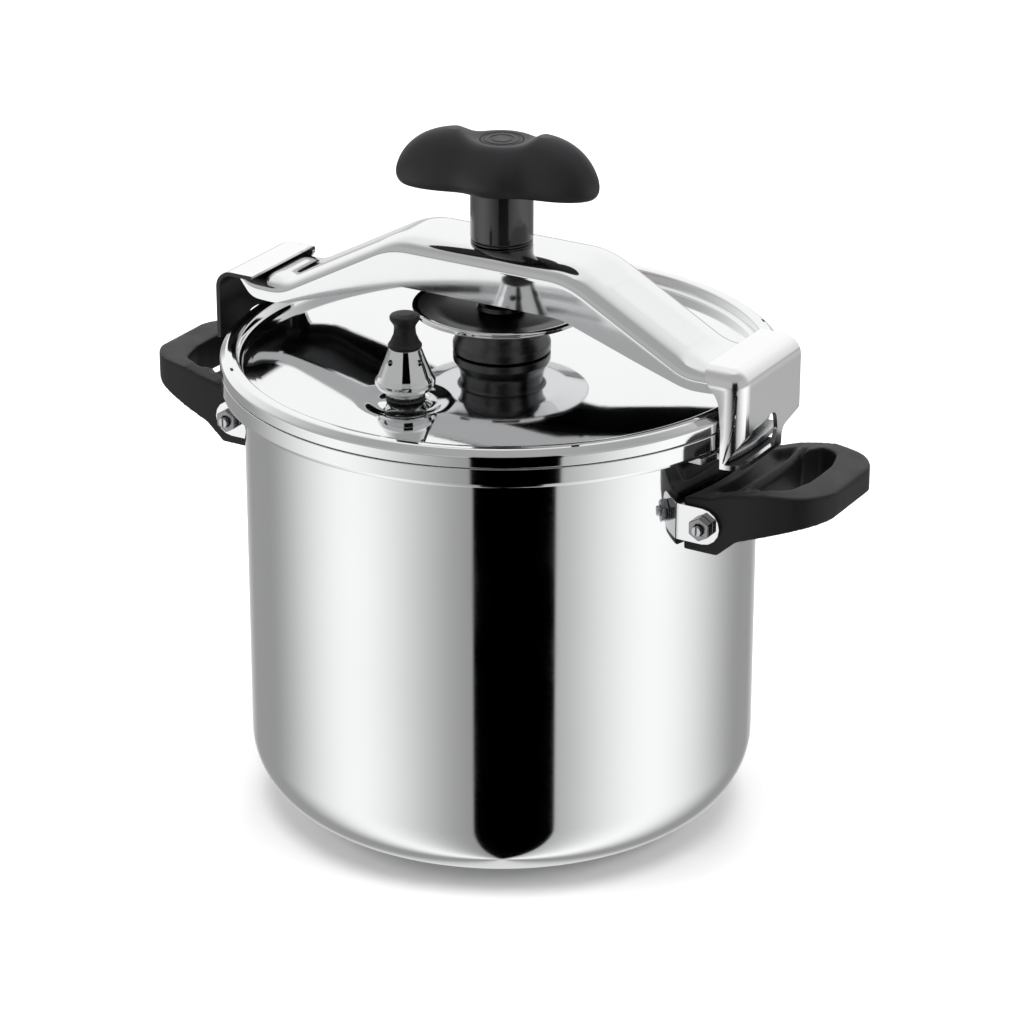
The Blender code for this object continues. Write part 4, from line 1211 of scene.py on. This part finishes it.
AXIS = (0.0, 0.0, 0.0)
mirror = (0.86, 0.865, 0.87)
satin = (0.60, 0.61, 0.62)
pot_steel = steel("pot_polish", mirror, (0.035, 0.075), 0.10, AXIS)
lid_steel = steel("lid_polish", mirror, (0.030, 0.065), 0.08, AXIS)
press_steel = steel("clamp_polish", mirror, (0.045, 0.090), 0.07)
claw_steel = steel("claw_polish", (0.93, 0.93, 0.935), (0.150, 0.240), 0.09)
# Painted shade: a near-black steel for the dish's bowl and hub.
dish_shade_steel = steel("dish_painted_shade", (0.110, 0.110, 0.114), (0.24, 0.34), 0.30, AXIS, 0.6)
weight_steel = steel("weight_polish", mirror, (0.040, 0.080), 0.10, middle("weight_body"))
safety_steel = steel("safety_polish", mirror, (0.050, 0.100), 0.12, middle("safety_body"))
base_steel = steel("base_brushed", satin, (0.24, 0.36), 0.55, AXIS, 1.0)
plain_steel = steel("satin_pressed", satin, (0.18, 0.32), 0.40, None, 1.0)
nut_steel = steel("nut_plated", (0.30, 0.30, 0.31), (0.16, 0.28), 0.40, None, 1.0)
oxide_steel = steel("black_oxide", (0.045, 0.045, 0.047), (0.22, 0.34), 0.40, AXIS, 1.0)
# Painted shade: a near-black steel for the faces under the beam and inside the claws.
inside_shade_steel = steel("painted_shade_inside", (0.055, 0.055, 0.058), (0.38, 0.52), 0.45, None, 1.0)
phenolic = plastic("black_phenolic", (0.009, 0.009, 0.010), (0.38, 0.50), 0.30, gleam=0.42)
grip_phenolic = plastic("grip_phenolic", (0.007, 0.007, 0.008), (0.36, 0.48), 0.30, gleam=0.22)
gloss = plastic("black_gloss", (0.010, 0.010, 0.011), (0.10, 0.18), 0.05, 0.6)
red = plastic("red_moulded", (0.50, 0.035, 0.03), (0.30, 0.42), 0.20)
gasket_rubber = rubber("gasket_silicone", (0.60, 0.60, 0.57))
valve_rubber = rubber("valve_silicone", (0.045, 0.045, 0.045))

stand_for(make_pot(), "pot_body", pot_steel)
stand_for(make_base(), "base_disc", base_steel)
stand_for(make_lid(), "lid_shell", lid_steel)
stand_for(make_weight(), "weight_body", weight_steel)
stand_for(make_weight_cap(), "weight_cap", grip_phenolic)
stand_for(make_safety_body(), "safety_body", safety_steel)
stand_for(make_safety_cap(), "safety_cap", safety_steel)
stand_for(make_beam(), "beam", press_steel, inside_shade_steel)
right_claw = make_claw()
stand_for(turned_half(right_claw, "claw_strap_left"), "claw_left", claw_steel, inside_shade_steel)
stand_for(right_claw, "claw_right", claw_steel, inside_shade_steel)
stand_for(make_collar(), "stem_collar", gloss)
stand_for(make_sleeve(), "stem_sleeve", gloss)
stand_for(make_dish(), "pressure_dish", lid_steel, dish_shade_steel)
spring = stand_for(make_spring(), "safety_spring", plain_steel)
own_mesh(spring)
stand_for(make_knob(), "knob", phenolic)
stand_for(make_knob_cap(), "knob_cap", phenolic)
right_grip = make_grip()
left_grip = turned_half(right_grip, "grip_moulding_left")
stand_for(left_grip, "handle_left_grip", grip_phenolic)
stand_for(right_grip, "handle_right_grip", grip_phenolic)

for side in ("right", "left"):
    dress(f"lug_{side}", plain_steel, 0.0005)
    dress(f"handle_{side}_bracket", press_steel, 0.0003)
    dress(f"handle_{side}_bolt", plain_steel, 0.0003)
    dress(f"handle_{side}_nut", nut_steel, 0.0005)
for node in ("vent_pipe", "vent_nut", "weight_pin", "safety_nut", "knob_nut", "dish_retainer"):
    dress(node, plain_steel)
dress("spindle", oxide_steel)
dress("beam_bush", oxide_steel, 0.0003)
dress("gasket", gasket_rubber)
dress("vent_washer", valve_rubber)
dress("safety_washer", valve_rubber)
dress("safety_plunger", red)

make_world()
make_light("overhead", (0.2, -0.3, 2.2), (0.0, 0.0, 0.1), 1.8, 42.0)
make_light("left_side", (-1.6, -1.4, 1.3), (0.0, 0.0, 0.15), 1.2, 16.0)
make_light("right_side", (2.0, 0.2, 1.4), (0.0, 0.0, 0.15), 1.2, 16.0)
make_light("behind", (-0.8, 2.2, 1.6), (0.0, 0.0, 0.15), 1.4, 22.0)
make_stage()
make_camera()
bpy.context.scene.view_settings.view_transform = "Standard"

bpy.context.view_layer.update()
